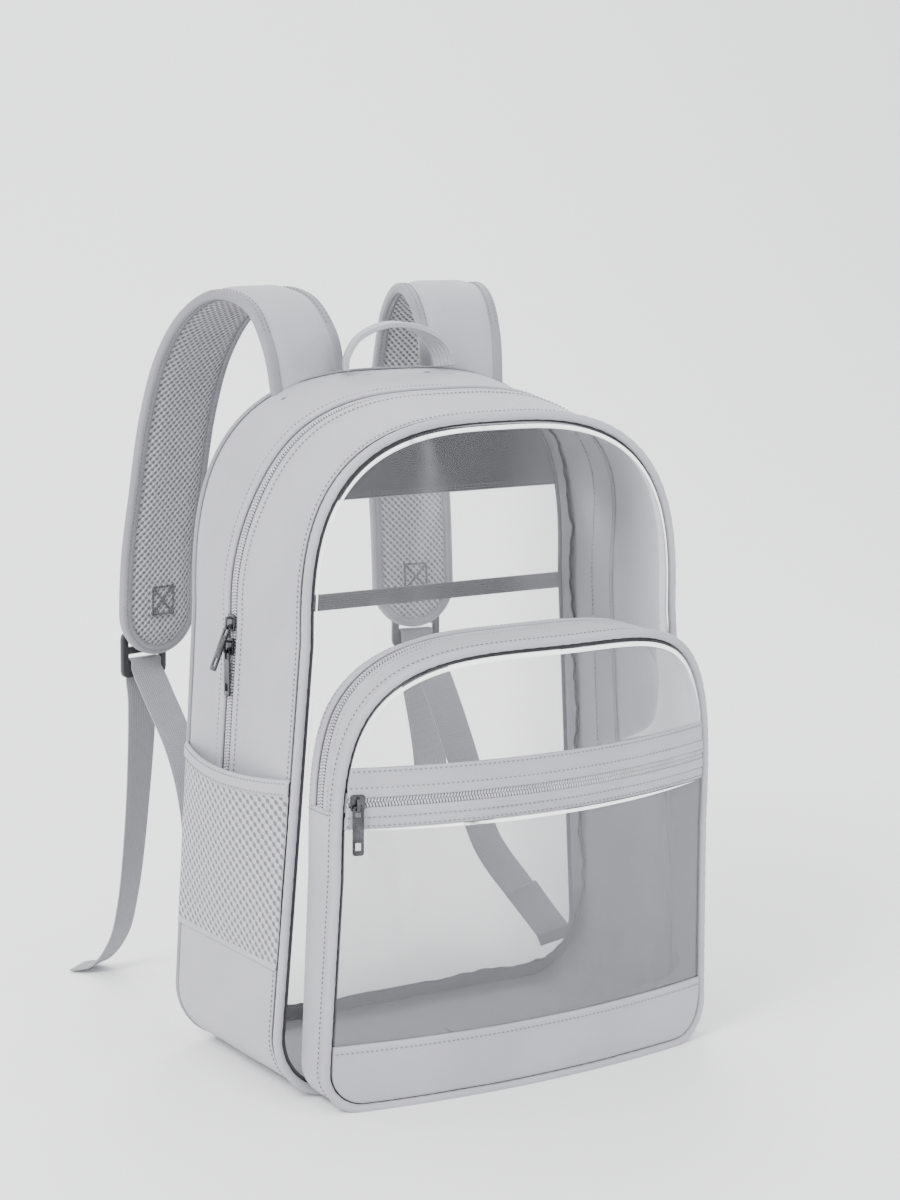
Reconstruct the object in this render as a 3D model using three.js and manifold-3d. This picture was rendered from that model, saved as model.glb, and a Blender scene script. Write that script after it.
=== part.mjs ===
// Clear stadium backpack: clear front and back sheets in a cloth frame, standing on its base.
// Millimetres, +Z up, the front faces -Y. The origin is the middle of the main bag's base.
import * as THREE from 'three';
import { mergeVertices } from 'three/addons/utils/BufferGeometryUtils.js';
import Module from 'manifold-3d';

const wasm = await Module();
wasm.setup();

// Main bag
const bagDepth = 135;
const backHeight = 440;
const frontHeight = 421;
const lowHalfWidth = 160;
const frontHighHalf = 139.5;
const backHighHalf = 145.5;
const backArchStart = 294; // height where the straight sides turn into the arch
const frontArchStart = 288;
const archPower = 2.87; // 2 is an ellipse, more is squarer
const bottomCorner = 42;
const frontCrown = 14; // how far the clear front stands forward in its middle
const gussetSplit = 150; // height where the zipper arch meets the lower gusset
const cloth = 1.6;
const clearSheet = 1.0;
const gap = 0.3;
const pipingRadius = 3;
const pipingProud = 1;

// Main zipper
const zipperSet = 1; // how far behind the middle of the depth its arch runs
const zipperSweep = 15; // how much further back its two ends run
const zipperSweepTop = 395; // height where it starts to sweep back
const zipperSweepDrop = 95; // height over which it does
const slotHalf = 3.2; // half the slot between the two cloth edges
const coilHalf = 2.6;
const tapeHalf = 12;
const tapeThickness = 1;
const coilSunk = 0.4;

// Back
const bindingWidth = 5;
const yokeLow = 353;
const crossStrapLow = 280;
const crossStrapWidth = 11;

// Front pocket
const pocketDepth = 33;
const pocketLowHalf = 145;
const pocketHighHalf = 140;
const pocketHeight = 291;
const pocketArchStart = 149;
const pocketPower = 3.58;
const pocketCorner = 26.5;
const pocketLean = 0.02; // forward lean for each millimetre of height
const pocketCrownLow = 16;
const pocketCrownHigh = 36;
const pocketSplit = 190; // cross seam at the ends of the pocket's arch zipper
const pocketZipperSet = 15; // distance from the pocket's rear edge
const baseBandHeight = 43;
const frontZipHeight = 197;
const frontZipLower = 15; // cloth strip under the front zipper
const frontZipUpper = 20; // cloth strip above it
const frontCoilHalf = 3;

// Side pockets
const sidePocketLow = 86;
const sidePocketHigh = 203;
const sidePocketHem = 10;
const sidePocketBelly = 11;
const sidePocketDip = 4; // how far the hem sags in the middle
const netThickness = 1.2;

// Shoulder straps
const strapFootCentre = 59;
const strapHalfWidth = 31;
const strapFootHalf = 30;
const strapReach = 134; // how far behind the back the strap hangs
const strapRise = 50; // arch above the bag's top
const strapDrop = 203; // foot to the rounded end
const strapSplay = 46; // sideways drift from foot to end
const strapTurn = THREE.MathUtils.degToRad(10); // how far its faces turn outwards
const strapHalfThick = 4.6;
const strapFootThin = 2.4;
const strapFootLift = 1.6; // above the bag's top, so that the leaning foot clears it
const strapBinding = 4;
const liningThickness = 1.2;
const patchHalf = 10;
const patchLength = 22;
const patchFromEnd = 27;

// Webbing and buckle
const webbingWidth = 25;
const webbingThick = 1.5;
const tabWidth = 28;
const buckleHalfWidth = 18.5;
const buckleHeight = 32;
const buckleThick = 4;
const buckleBar = 5;
const buckleSlot = 5.5;
const buckleCorner = 5;
const buckleShift = 5; // the buckle hangs a little outside the pad's middle
const leftTail = 1; // share of the tail that shows: the left one reaches the floor
const rightTail = 0.45;
const handleHalfSpan = 38;
const handleSet = 11; // in front of the back seam
const handleLift = 1.4; // of its feet, which cross the sloping top
const handleRise = 29;
const handleWidth = 15;
const handleThick = 2.4;

// Zipper hardware
const sliderLength = 11;
const sliderWidth = 9;
const sliderPlate = 1.6;
const bridgeHalf = 4;
const bridgeWidth = 2.2;
const bridgeHeight = 3.5;
const bridgeOpening = 2.6; // half its clear length
const tabLength = 30;
const tabHalf = 3.5;
const tabThick = 1.2;
const tabChamfer = 1;
const tabWindowNear = 3; // window at its tip, measured from the tip
const tabWindowFar = 8;
const tabEyePlay = 0.6; // on each side of the bridge in its eye
const tabRest = 22.5; // degrees, how far the upper tab leans out over the lower slider
const upperSliderHeight = 288.5;
const sliderPitch = 15;
const frontSliderSet = 6; // from the end of the front zipper
const pocketSliderRise = 16; // above the cross seam

const V = (x, y, z) => new THREE.Vector3(x, y, z);
const yFront = -bagDepth / 2;
const yBack = bagDepth / 2;
const mix = (a, b, t) => a + (b - a) * t;
const ease = (t) => { const k = Math.min(1, Math.max(0, t)); return k * k * (3 - 2 * k); };
const span = (n) => Array.from({ length: n + 1 }, (_, i) => i / n);

// Colours of the finishes
const finish = (color, roughness, metalness, opacity = 1) =>
  new THREE.MeshStandardMaterial({ color, roughness, metalness, opacity, transparent: opacity < 1 });
const finishes = {
  cloth: () => finish(0xc4c3c8, 0.85, 0),
  clear: () => finish(0xeef0f2, 0.08, 0, 0.25),
  webbing: () => finish(0x96959a, 0.8, 0),
  net: () => finish(0x9a999e, 0.9, 0),
  coil: () => finish(0xb4b3b8, 0.6, 0),
  metal: () => finish(0x6f7074, 0.3, 1),
  plastic: () => finish(0x141416, 0.4, 0),
};

// Bare solid from points and triangles, turned the right way out
function solid(points, faces) {
  let volume = 0;
  for (let i = 0; i < faces.length; i += 3) {
    const [a, b, c] = [points[faces[i]], points[faces[i + 1]], points[faces[i + 2]]];
    volume += a.dot(b.clone().cross(c));
  }
  const index = volume < 0 ? faces.slice().reverse() : faces;
  const geometry = new THREE.BufferGeometry().setFromPoints(points);
  geometry.setIndex(index);
  return geometry;
}

// Wall between two grids of points, its rims closed; closed joins the last row to the first
function wall(outer, inner, closed = false) {
  const rows = outer.length;
  const cols = outer[0].length;
  const at = (side, i, j) => side * rows * cols + (i % rows) * cols + j;
  const faces = [];
  const quad = (a, b, c, d) => faces.push(a, b, c, a, c, d);
  for (let i = 0; i < (closed ? rows : rows - 1); i++) {
    for (let j = 0; j < cols - 1; j++) {
      quad(at(0, i, j), at(0, i + 1, j), at(0, i + 1, j + 1), at(0, i, j + 1));
      quad(at(1, i, j), at(1, i, j + 1), at(1, i + 1, j + 1), at(1, i + 1, j));
    }
    quad(at(0, i, 0), at(1, i, 0), at(1, i + 1, 0), at(0, i + 1, 0));
    const e = cols - 1;
    quad(at(0, i, e), at(0, i + 1, e), at(1, i + 1, e), at(1, i, e));
  }
  if (!closed) {
    for (let j = 0; j < cols - 1; j++) {
      quad(at(0, 0, j), at(0, 0, j + 1), at(1, 0, j + 1), at(1, 0, j));
      const e = rows - 1;
      quad(at(0, e, j), at(1, e, j), at(1, e, j + 1), at(0, e, j + 1));
    }
  }
  return solid([...outer.flat(), ...inner.flat()], faces);
}

// Ring of round section: sections of points, joined both ways
function torus(sections) {
  const n = sections.length;
  const m = sections[0].length;
  const faces = [];
  for (let i = 0; i < n; i++) {
    for (let j = 0; j < m; j++) {
      const [a, b] = [i * m + j, ((i + 1) % n) * m + j];
      const [c, d] = [((i + 1) % n) * m + ((j + 1) % m), i * m + ((j + 1) % m)];
      faces.push(a, b, c, a, c, d);
    }
  }
  return solid(sections.flat(), faces);
}

// Half of a bag outline as [x, z], from the bottom middle to the top middle.
// Flat base, round corner, straight side, then a superellipse arch; split is a point of its own.
function halfOutline(o) {
  const points = [[0, 0], [(o.low - o.corner) / 2, 0], [o.low - o.corner, 0]];
  for (const t of span(5).slice(1)) {
    const a = t * Math.PI / 2;
    points.push([o.low - o.corner + o.corner * Math.sin(a), o.corner - o.corner * Math.cos(a)]);
  }
  const side = (z) => [mix(o.low, o.high, (z - o.corner) / (o.archStart - o.corner)), z];
  const arch = (a) => [
    o.high * Math.max(0, Math.cos(a)) ** (2 / o.power),
    o.archStart + (o.height - o.archStart) * Math.sin(a) ** (2 / o.power),
  ];
  const onSide = o.split < o.archStart;
  const share = (o.split - o.archStart) / (o.height - o.archStart);
  const cut = onSide ? 0 : Math.asin(share ** (o.power / 2));
  points.push(side(mix(o.corner, Math.min(o.split, o.archStart), 0.5)));
  points.push(side(Math.min(o.split, o.archStart)));
  if (onSide) points.push(side(o.archStart));
  else points.push(arch(cut));
  for (const t of span(10).slice(1, -1)) points.push(arch(cut + (Math.PI / 2 - cut) * ease(t)));
  points.push([0, o.height]);
  return points;
}

// Closed loop, anticlockwise seen from the front, starting at the bottom middle
const loopOf = (half) => [...half, ...half.slice(1, -1).reverse().map(([x, z]) => [-x, z])];

// Loop moved inwards by d along its mitred normals
function inset(loop, d) {
  const n = loop.length;
  const unit = (x, z) => { const l = Math.hypot(x, z); return [x / l, z / l]; };
  return loop.map(([x, z], i) => {
    const a = loop[(i + n - 1) % n];
    const b = loop[(i + 1) % n];
    const u = unit(x - a[0], z - a[1]);
    const v = unit(b[0] - x, b[1] - z);
    const m = unit(-(u[1] + v[1]), u[0] + v[0]);
    const k = d / (u[0] * m[1] - u[1] * m[0]);
    return [x + m[0] * k, z + m[1] * k];
  });
}

// Main outline at a depth y, blended from the front's to the back's
function mainOutline(y, grow = 0) {
  const f = (y - yFront) / bagDepth;
  return loopOf(halfOutline({
    low: lowHalfWidth + grow,
    high: mix(frontHighHalf, backHighHalf, f) + grow,
    height: mix(frontHeight, backHeight, f) + grow,
    archStart: mix(frontArchStart, backArchStart, f),
    corner: bottomCorner,
    power: archPower,
    split: gussetSplit,
  }));
}

function pocketOutline(grow = 0) {
  return loopOf(halfOutline({
    low: pocketLowHalf + grow,
    high: pocketHighHalf + grow,
    height: pocketHeight + grow,
    archStart: pocketArchStart,
    corner: pocketCorner,
    power: pocketPower,
    split: pocketSplit,
  }));
}

// Half width of a loop at a height, from its right side
function halfWidthAt(loop, z) {
  const half = loop.slice(2, loop.length / 2 + 1);
  for (let i = 1; i < half.length; i++) {
    const [a, b] = [half[i - 1], half[i]];
    if (z <= b[1]) return mix(a[0], b[0], Math.max(0, (z - a[1]) / (b[1] - a[1] || 1)));
  }
  return 0;
}

// Height of the main outline's top at a place across it
function topAt(y, x) {
  const loop = mainOutline(y);
  const half = loop.slice(2, loop.length / 2 + 1);
  for (let i = half.length - 1; i > 0; i--) {
    const [a, b] = [half[i - 1], half[i]];
    if (Math.abs(x) <= a[0]) return mix(b[1], a[1], (Math.abs(x) - b[0]) / (a[0] - b[0]));
  }
  return 0;
}

// Indices of the part of a loop above its split, or below it
const splitIndex = 9;
const upperPart = (n) => Array.from({ length: n - 2 * splitIndex + 1 }, (_, i) => splitIndex + i);
const lowerPart = (n) => Array.from({ length: 2 * splitIndex + 1 }, (_, i) => (n - splitIndex + i) % n);

// Pull the two ends of a row list back a little, for the gap at the split
function trimEnds(rows, by) {
  const pull = (a, b) => a.map((p, j) => p.clone().add(b[j].clone().sub(p).setLength(by)));
  const out = rows.slice();
  out[0] = pull(rows[0], rows[1]);
  out[out.length - 1] = pull(rows[rows.length - 1], rows[rows.length - 2]);
  return out;
}

// Surfaces of the two fronts
const panelRim = 2 * pipingRadius + gap;
const mainPipingLoop = mainOutline(yFront, pipingProud);
const frontRim = inset(mainPipingLoop, panelRim);
function mainFrontY(x, z) {
  const across = Math.min(1, Math.abs(x) / Math.max(1, halfWidthAt(frontRim, z)));
  const up = Math.min(1, Math.abs(2 * z / frontHeight - 1));
  return yFront - frontCrown * (1 - across ** 3) * (1 - up ** 4);
}
function pocketY(x, z) {
  const crown = mix(pocketCrownLow, pocketCrownHigh, z / pocketHeight);
  return yFront - pocketDepth - pocketLean * z - crown * (1 - (x / pocketLowHalf) ** 2);
}
const pocketRearY = (x, z) => Math.min(
  mainFrontY(x, z) - clearSheet / 2 - gap, yFront - pipingRadius - gap,
);

// Rows of a sheet inside a rim: heights and half widths from zLow to zHigh
function sheetRows(rim, zLow, zHigh) {
  const half = rim.slice(2, rim.length / 2);
  const low = Math.max(zLow, half[0][1]);
  const high = Math.min(zHigh, half[half.length - 1][1]);
  const inside = half.filter(([, z]) => z > low + 2 && z < high - 2);
  return [[halfWidthAt(rim, low + 0.001), low], ...inside, [halfWidthAt(rim, high), high]];
}

// Sheet filling a rim between two heights, on the surface y(x, z)
function sheet(rim, surface, thickness, zLow, zHigh, cols = 8) {
  const grid = (side) => sheetRows(rim, zLow, zHigh).map(([w, z]) => span(cols).map((t) => {
    const x = mix(-w, w, t);
    return V(x, surface(x, z) + side * thickness / 2, z);
  }));
  return wall(grid(-1), grid(1));
}

// Piping roll along a loop, its outside on the loop, at y(x, z)
function piping(loop, surface, sides = 6) {
  const rolls = span(sides).slice(0, -1).map((t) => {
    const a = t * 2 * Math.PI;
    return { ring: inset(loop, pipingRadius - pipingRadius * Math.cos(a)), y: pipingRadius * Math.sin(a) };
  });
  const middle = inset(loop, pipingRadius);
  return torus(middle.map(([x, z], i) => rolls.map(
    (r) => V(r.ring[i][0], surface(x, z) + r.y, r.ring[i][1]),
  )));
}

// Cloth band round a loop: loopAt(y) gives the outer loop, ys(x, z) its depths
function band(part, loopAt, depths, thickness, depth = 0) {
  const grid = (d) => {
    const base = inset(loopAt(0), 0);
    return part(base.length).map((i) => depths.map((depthAt) => {
      const y = depthAt(...base[i]);
      const [x, z] = inset(loopAt(y), d)[i];
      return V(x, y, z);
    }));
  };
  return [grid(depth), grid(depth + thickness)];
}

const extruded = (shape, depth) =>
  new THREE.ExtrudeGeometry(shape, { depth, bevelEnabled: false, curveSegments: 3 });

const group = new THREE.Group();
function add(name, geometry, material, place = null) {
  const mesh = new THREE.Mesh(geometry, finishes[material]());
  mesh.name = name;
  if (place) place(mesh);
  group.add(mesh);
  return mesh;
}

// Main gusset
const gussetFront = () => yFront + pipingRadius + gap;
const gussetBack = () => yBack - cloth - gap;
const clear = { low: trimEnds, keep: (rows) => rows };
const lowerBand = band(lowerPart, mainOutline, [gussetFront, () => 0, gussetBack], cloth);
add('main_gusset_lower', wall(...lowerBand.map((rows) => clear.low(rows, gap))), 'cloth');
const zipperY = (x, z) => zipperSet + zipperSweep * ease((zipperSweepTop - z) / zipperSweepDrop);
const frontBand = band(upperPart, mainOutline,
  [gussetFront, (x, z) => zipperY(x, z) - slotHalf], cloth);
add('main_gusset_front_band', wall(...frontBand), 'cloth');
const backBand = band(upperPart, mainOutline,
  [(x, z) => zipperY(x, z) + slotHalf, gussetBack], cloth);
add('main_gusset_back_band', wall(...backBand), 'cloth');

// Zipper: a flat tape under the cloth edges, with the coil standing up in the slot
function zipper(part, loopAt, middle) {
  const under = cloth + gap;
  const top = [[-tapeHalf, under], [-coilHalf, under], [-coilHalf, coilSunk],
    [coilHalf, coilSunk], [coilHalf, under], [tapeHalf, under]];
  const foot = [-tapeHalf, -coilHalf - 1, -coilHalf / 2, coilHalf / 2, coilHalf + 1, tapeHalf];
  const base = loopAt(0);
  const point = (i, side, d) => {
    const y = middle(...base[i]) + side;
    const [x, z] = inset(loopAt(y), d)[i];
    return V(x, y, z);
  };
  const rows = part(base.length);
  const upper = rows.map((i) => top.map(([side, d]) => point(i, side, d)));
  const lower = rows.map((i) => foot.map((side) => point(i, side, under + tapeThickness)));
  return wall(upper, lower);
}
add('main_zipper', zipper(upperPart, mainOutline, zipperY), 'coil');

// Clear front and its piping
add('front_panel', sheet(frontRim, mainFrontY, clearSheet, 0, frontHeight, 10), 'clear');
add('front_piping', piping(mainPipingLoop, () => yFront), 'cloth');

// Back: clear sheet, binding outside its edge, yoke and cross strap inside the binding
const backLoop = mainOutline(yBack);
const backSheetY = yBack - cloth / 2;
const backTrimY = backSheetY + clearSheet / 2 + gap + cloth / 2;
add('back_panel', sheet(inset(backLoop, gap), () => backSheetY, clearSheet, 0, backHeight, 6), 'clear');
const bindingGrid = (y) => {
  const [a, b] = [inset(backLoop, 0), inset(backLoop, bindingWidth)];
  return a.map((p, i) => [V(p[0], y, p[1]), V(b[i][0], y, b[i][1])]);
};
add('back_binding',
  wall(bindingGrid(backTrimY - cloth / 2), bindingGrid(backTrimY + cloth / 2), true), 'cloth');
const trimRim = inset(backLoop, bindingWidth + gap);
add('back_yoke', sheet(trimRim, () => backTrimY, cloth, yokeLow, backHeight, 4), 'cloth');
add('back_cross_strap',
  sheet(trimRim, () => backTrimY, cloth, crossStrapLow, crossStrapLow + crossStrapWidth, 4), 'webbing');

// Front pocket
const pocketLoopAt = () => pocketOutline();
const pocketPipingLoop = pocketOutline(pipingProud);
const pocketRim = inset(pocketPipingLoop, panelRim);
const pocketFrontEdge = (x, z) => pocketY(x, z) + pipingRadius + gap;
const pocketZipY = (x, z) => pocketRearY(x, z) - pocketZipperSet;
const pocketLower = band(lowerPart, pocketLoopAt, [pocketRearY, pocketFrontEdge], cloth);
add('pocket_gusset_lower', wall(...pocketLower.map((rows) => clear.low(rows, gap))), 'cloth');
add('pocket_gusset_rear_band', wall(...band(upperPart, pocketLoopAt,
  [pocketRearY, (x, z) => pocketZipY(x, z) + slotHalf], cloth)), 'cloth');
add('pocket_gusset_front_band', wall(...band(upperPart, pocketLoopAt,
  [(x, z) => pocketZipY(x, z) - slotHalf, pocketFrontEdge], cloth)), 'cloth');
add('pocket_zipper', zipper(upperPart, pocketLoopAt, pocketZipY), 'coil');
add('pocket_piping', piping(pocketPipingLoop, pocketY), 'cloth');

// Face of the pocket, from the floor up
const faceZones = [
  ['pocket_base_band', baseBandHeight, 'cloth', cloth],
  ['pocket_lower_panel', frontZipHeight - frontZipLower, 'clear', clearSheet],
  ['front_zip_lower_strip', frontZipHeight - frontCoilHalf, 'cloth', cloth],
  ['front_zip_coil', frontZipHeight + frontCoilHalf, 'coil', cloth],
  ['front_zip_upper_strip', frontZipHeight + frontZipUpper, 'cloth', cloth],
  ['pocket_window', pocketHeight, 'clear', clearSheet],
];
let zoneLow = 0;
for (const [name, high, material, thickness] of faceZones) {
  add(name, sheet(pocketRim, pocketY, thickness, zoneLow, high), material);
  zoneLow = high + gap;
}

// Side pockets: a net that bellies out from the gusset, with a hem at its mouth
function sidePocket(side, zLow, zHigh, thickness) {
  const rows = zHigh - zLow > 2 * sidePocketHem ? 4 : 1;
  const grid = (out) => span(rows).map((r) => span(6).map((c) => {
    const y = mix(yFront + pipingRadius + gap, yBack - cloth, c);
    const sag = sidePocketDip * (1 - (2 * c - 1) ** 2) * (mix(zLow, zHigh, r) - sidePocketLow)
      / (sidePocketHigh - sidePocketLow);
    const z = mix(zLow, zHigh, r);
    const rise = ((z - sidePocketLow) / (sidePocketHigh - sidePocketLow)) ** 0.7;
    const belly = sidePocketBelly * (1 - (2 * c - 1) ** 2) * rise;
    const x = halfWidthAt(mainOutline(y), z - sag) + gap + belly + out;
    return V(side * x, y, z - sag);
  }));
  return wall(grid(thickness), grid(0));
}
const hemLow = sidePocketHigh - sidePocketHem;
for (const [label, side] of [['left', -1], ['right', 1]]) {
  add(`side_pocket_net_${label}`, sidePocket(side, sidePocketLow, hemLow - gap, netThickness), 'net');
  add(`side_pocket_hem_${label}`, sidePocket(side, hemLow, sidePocketHigh, cloth), 'cloth');
}

// Shoulder straps. Shares of the named sizes along the middle of a strap:
// back of strapReach, up of strapRise, down of strapDrop, out of strapSplay.
const strapTable = [
  { back: 0.00, up: 0.00, down: 0.00, out: 0.00 },
  { back: 0.06, up: 0.50, down: 0.00, out: 0.06 },
  { back: 0.20, up: 0.90, down: 0.00, out: 0.15 },
  { back: 0.42, up: 1.00, down: 0.00, out: 0.32 },
  { back: 0.64, up: 0.68, down: 0.00, out: 0.50 },
  { back: 0.80, up: 0.08, down: 0.00, out: 0.65 },
  { back: 0.91, up: 0.00, down: 0.185, out: 0.75 },
  { back: 0.97, up: 0.00, down: 0.43, out: 0.84 },
  { back: 1.00, up: 0.00, down: 0.68, out: 0.95 },
  { back: 1.00, up: 0.00, down: 1.00, out: 1.00 },
];

function makeStrap(label, side) {
  const footZ = topAt(yBack, strapFootCentre) + strapFootLift;
  const curve = new THREE.CatmullRomCurve3(strapTable.map((r) => V(
    side * (strapFootCentre + r.out * strapSplay),
    yBack + r.back * strapReach,
    footZ + r.up * strapRise - r.down * strapDrop,
  )));
  curve.arcLengthDivisions = 400;
  const length = curve.getLength();
  const across = V(side * Math.cos(strapTurn), -Math.sin(strapTurn), 0).multiplyScalar(side);
  // s along the middle, v across, h out of the outer face
  const place = (s, v, h) => {
    const u = Math.min(1, Math.max(0, s / length));
    const out = across.clone().cross(curve.getTangentAt(u)).normalize();
    const p = curve.getPointAt(u).addScaledVector(across, side * v).addScaledVector(out, h);
    const slope = topAt(yBack, p.x) + strapFootLift - footZ;
    p.z += slope * (1 - ease(s / strapRise));
    return p;
  };
  const halfThick = (s) => mix(strapFootThin, strapHalfThick, ease(s / (2 * strapHalfWidth)));
  const halfWidth = (s) => mix(strapFootHalf, strapHalfWidth, ease(s / (4 * strapHalfWidth)));
  const straight = length - strapHalfWidth;
  const turns = [15, 35, 55, 75, 88];
  // closer rows over the arch than down the straight
  const stations = span(17).map((k) => (0.6 * k + 0.4 * k * k) * straight);
  // rows of the pad with its round end, trimmed by t all round
  const padRows = (t) => [
    ...stations.map((s) => [s, halfWidth(s) - t]),
    ...turns.map((deg) => {
      const a = THREE.MathUtils.degToRad(deg);
      return [straight + (strapHalfWidth - t) * Math.sin(a), (strapHalfWidth - t) * Math.cos(a)];
    }),
  ];
  const crown = (v) => 1 - 0.2 * (v / strapHalfWidth) ** 2;
  const layer = (t, from, to) => {
    const grid = (rise) => padRows(t).map(([s, w]) => span(4).map((k) => {
      const v = mix(-w, w, k);
      return place(s, v, rise(s, v));
    }));
    return wall(grid(from), grid(to));
  };
  const face = (s, v) => halfThick(s) * crown(v);
  add(`strap_pad_${label}`, layer(strapBinding + 2 * gap, face, (s, v) => -face(s, v)), 'cloth');
  add(`strap_lining_${label}`, layer(strapBinding + 2 * gap, (s, v) => -face(s, v) - gap,
    (s, v) => -face(s, v) - gap - liningThickness), 'net');
  // binding round the long edges and the round end
  const edge = (t) => {
    const sideRows = stations.map((s) => [s, halfWidth(s) - t]);
    const round = span(10).slice(1, -1).map((k) => {
      const a = Math.PI * k;
      return [straight + (strapHalfWidth - t) * Math.sin(a), -(strapHalfWidth - t) * Math.cos(a)];
    });
    return [...sideRows.map(([s, w]) => [s, -w]), ...round, ...sideRows.reverse()];
  };
  const strip = (t) => edge(t).map(([s, v]) => {
    const h = halfThick(s);
    return [place(s, v, h), place(s, v, -h - gap - liningThickness)];
  });
  add(`strap_binding_${label}`, wall(strip(0), strip(strapBinding)), 'cloth');
  // stitched patch on the lining near the end
  const patchGrid = (lift) => span(3).map((a) => span(3).map((b) => {
    const s = length - patchFromEnd - patchLength + a * patchLength;
    const v = mix(-patchHalf, patchHalf, b);
    return place(s, v, -face(s, v) - 2 * gap - liningThickness - lift);
  }));
  add(`strap_patch_${label}`, wall(patchGrid(0), patchGrid(webbingThick)), 'webbing');
  return { end: place(length, 0, 0), curve };
}

// Flat strip along points; each point has its own width direction
function strip(points, across, width, thickness) {
  const n = points.length;
  const rows = points.map((p, i) => {
    const t = points[Math.min(n - 1, i + 1)].clone().sub(points[Math.max(0, i - 1)]).normalize();
    const w = across(i, t).clone();
    w.addScaledVector(t, -w.dot(t)).normalize();
    const h = t.clone().cross(w);
    return { p, w, h };
  });
  const grid = (side) => rows.map(({ p, w, h }) => [-1, 1].map((k) =>
    p.clone().addScaledVector(w, k * width / 2).addScaledVector(h, side * thickness / 2)));
  return wall(grid(1), grid(-1));
}

// Routes of the lower webbing, from the buckle to the bag's bottom corner.
// across: 0 at the buckle, 1 at the corner; back: share of strapReach; up: 1 at the buckle, 0 at the corner.
const webbingRoutes = {
  left: [
    { across: -0.06, back: 0.90, up: 0.88 }, { across: -0.14, back: 0.70, up: 0.72 },
    { across: -0.06, back: 0.52, up: 0.56 }, { across: 0.20, back: 0.33, up: 0.36 },
    { across: 0.62, back: 0.14, up: 0.14 }, { across: 1.00, back: 0.02, up: 0.00 },
  ],
  right: [
    { across: 0.28, back: 0.92, up: 0.84 }, { across: 0.62, back: 0.74, up: 0.53 },
    { across: 0.66, back: 0.53, up: 0.27 }, { across: 0.90, back: 0.27, up: 0.11 },
    { across: 1.00, back: 0.02, up: 0.00 },
  ],
};
// Tail below the buckle: out and back are shares of strapSplay, down of the buckle's height
// above the floor; turn is the angle of its width from the buckle's.
const tailTables = {
  left: [
    { out: 0.00, back: 0.01, down: 0.060, turn: 0 },
    { out: -0.03, back: 0.02, down: 0.116, turn: 2 }, { out: 0.02, back: 0.08, down: 0.428, turn: 13 },
    { out: 0.17, back: 0.17, down: 0.758, turn: 20 }, { out: 0.21, back: 0.39, down: 0.895, turn: 21 },
    { out: 0.36, back: 0.67, down: 0.978, turn: 22 }, { out: 0.55, back: 1.00, down: 1.000, turn: 22 },
  ],
  right: [
    { out: 0.00, back: 0.01, down: 0.060, turn: 0 },
    { out: 0.03, back: 0.02, down: 0.116, turn: 2 }, { out: 0.32, back: 0.08, down: 0.428, turn: 8 },
    { out: 0.42, back: 0.20, down: 0.758, turn: 14 }, { out: 0.50, back: 1.00, down: 1.000, turn: 14 },
  ],
};
const anchorInset = 17; // from the bag's side to the middle of the tab
const anchorHeight = 30;

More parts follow.
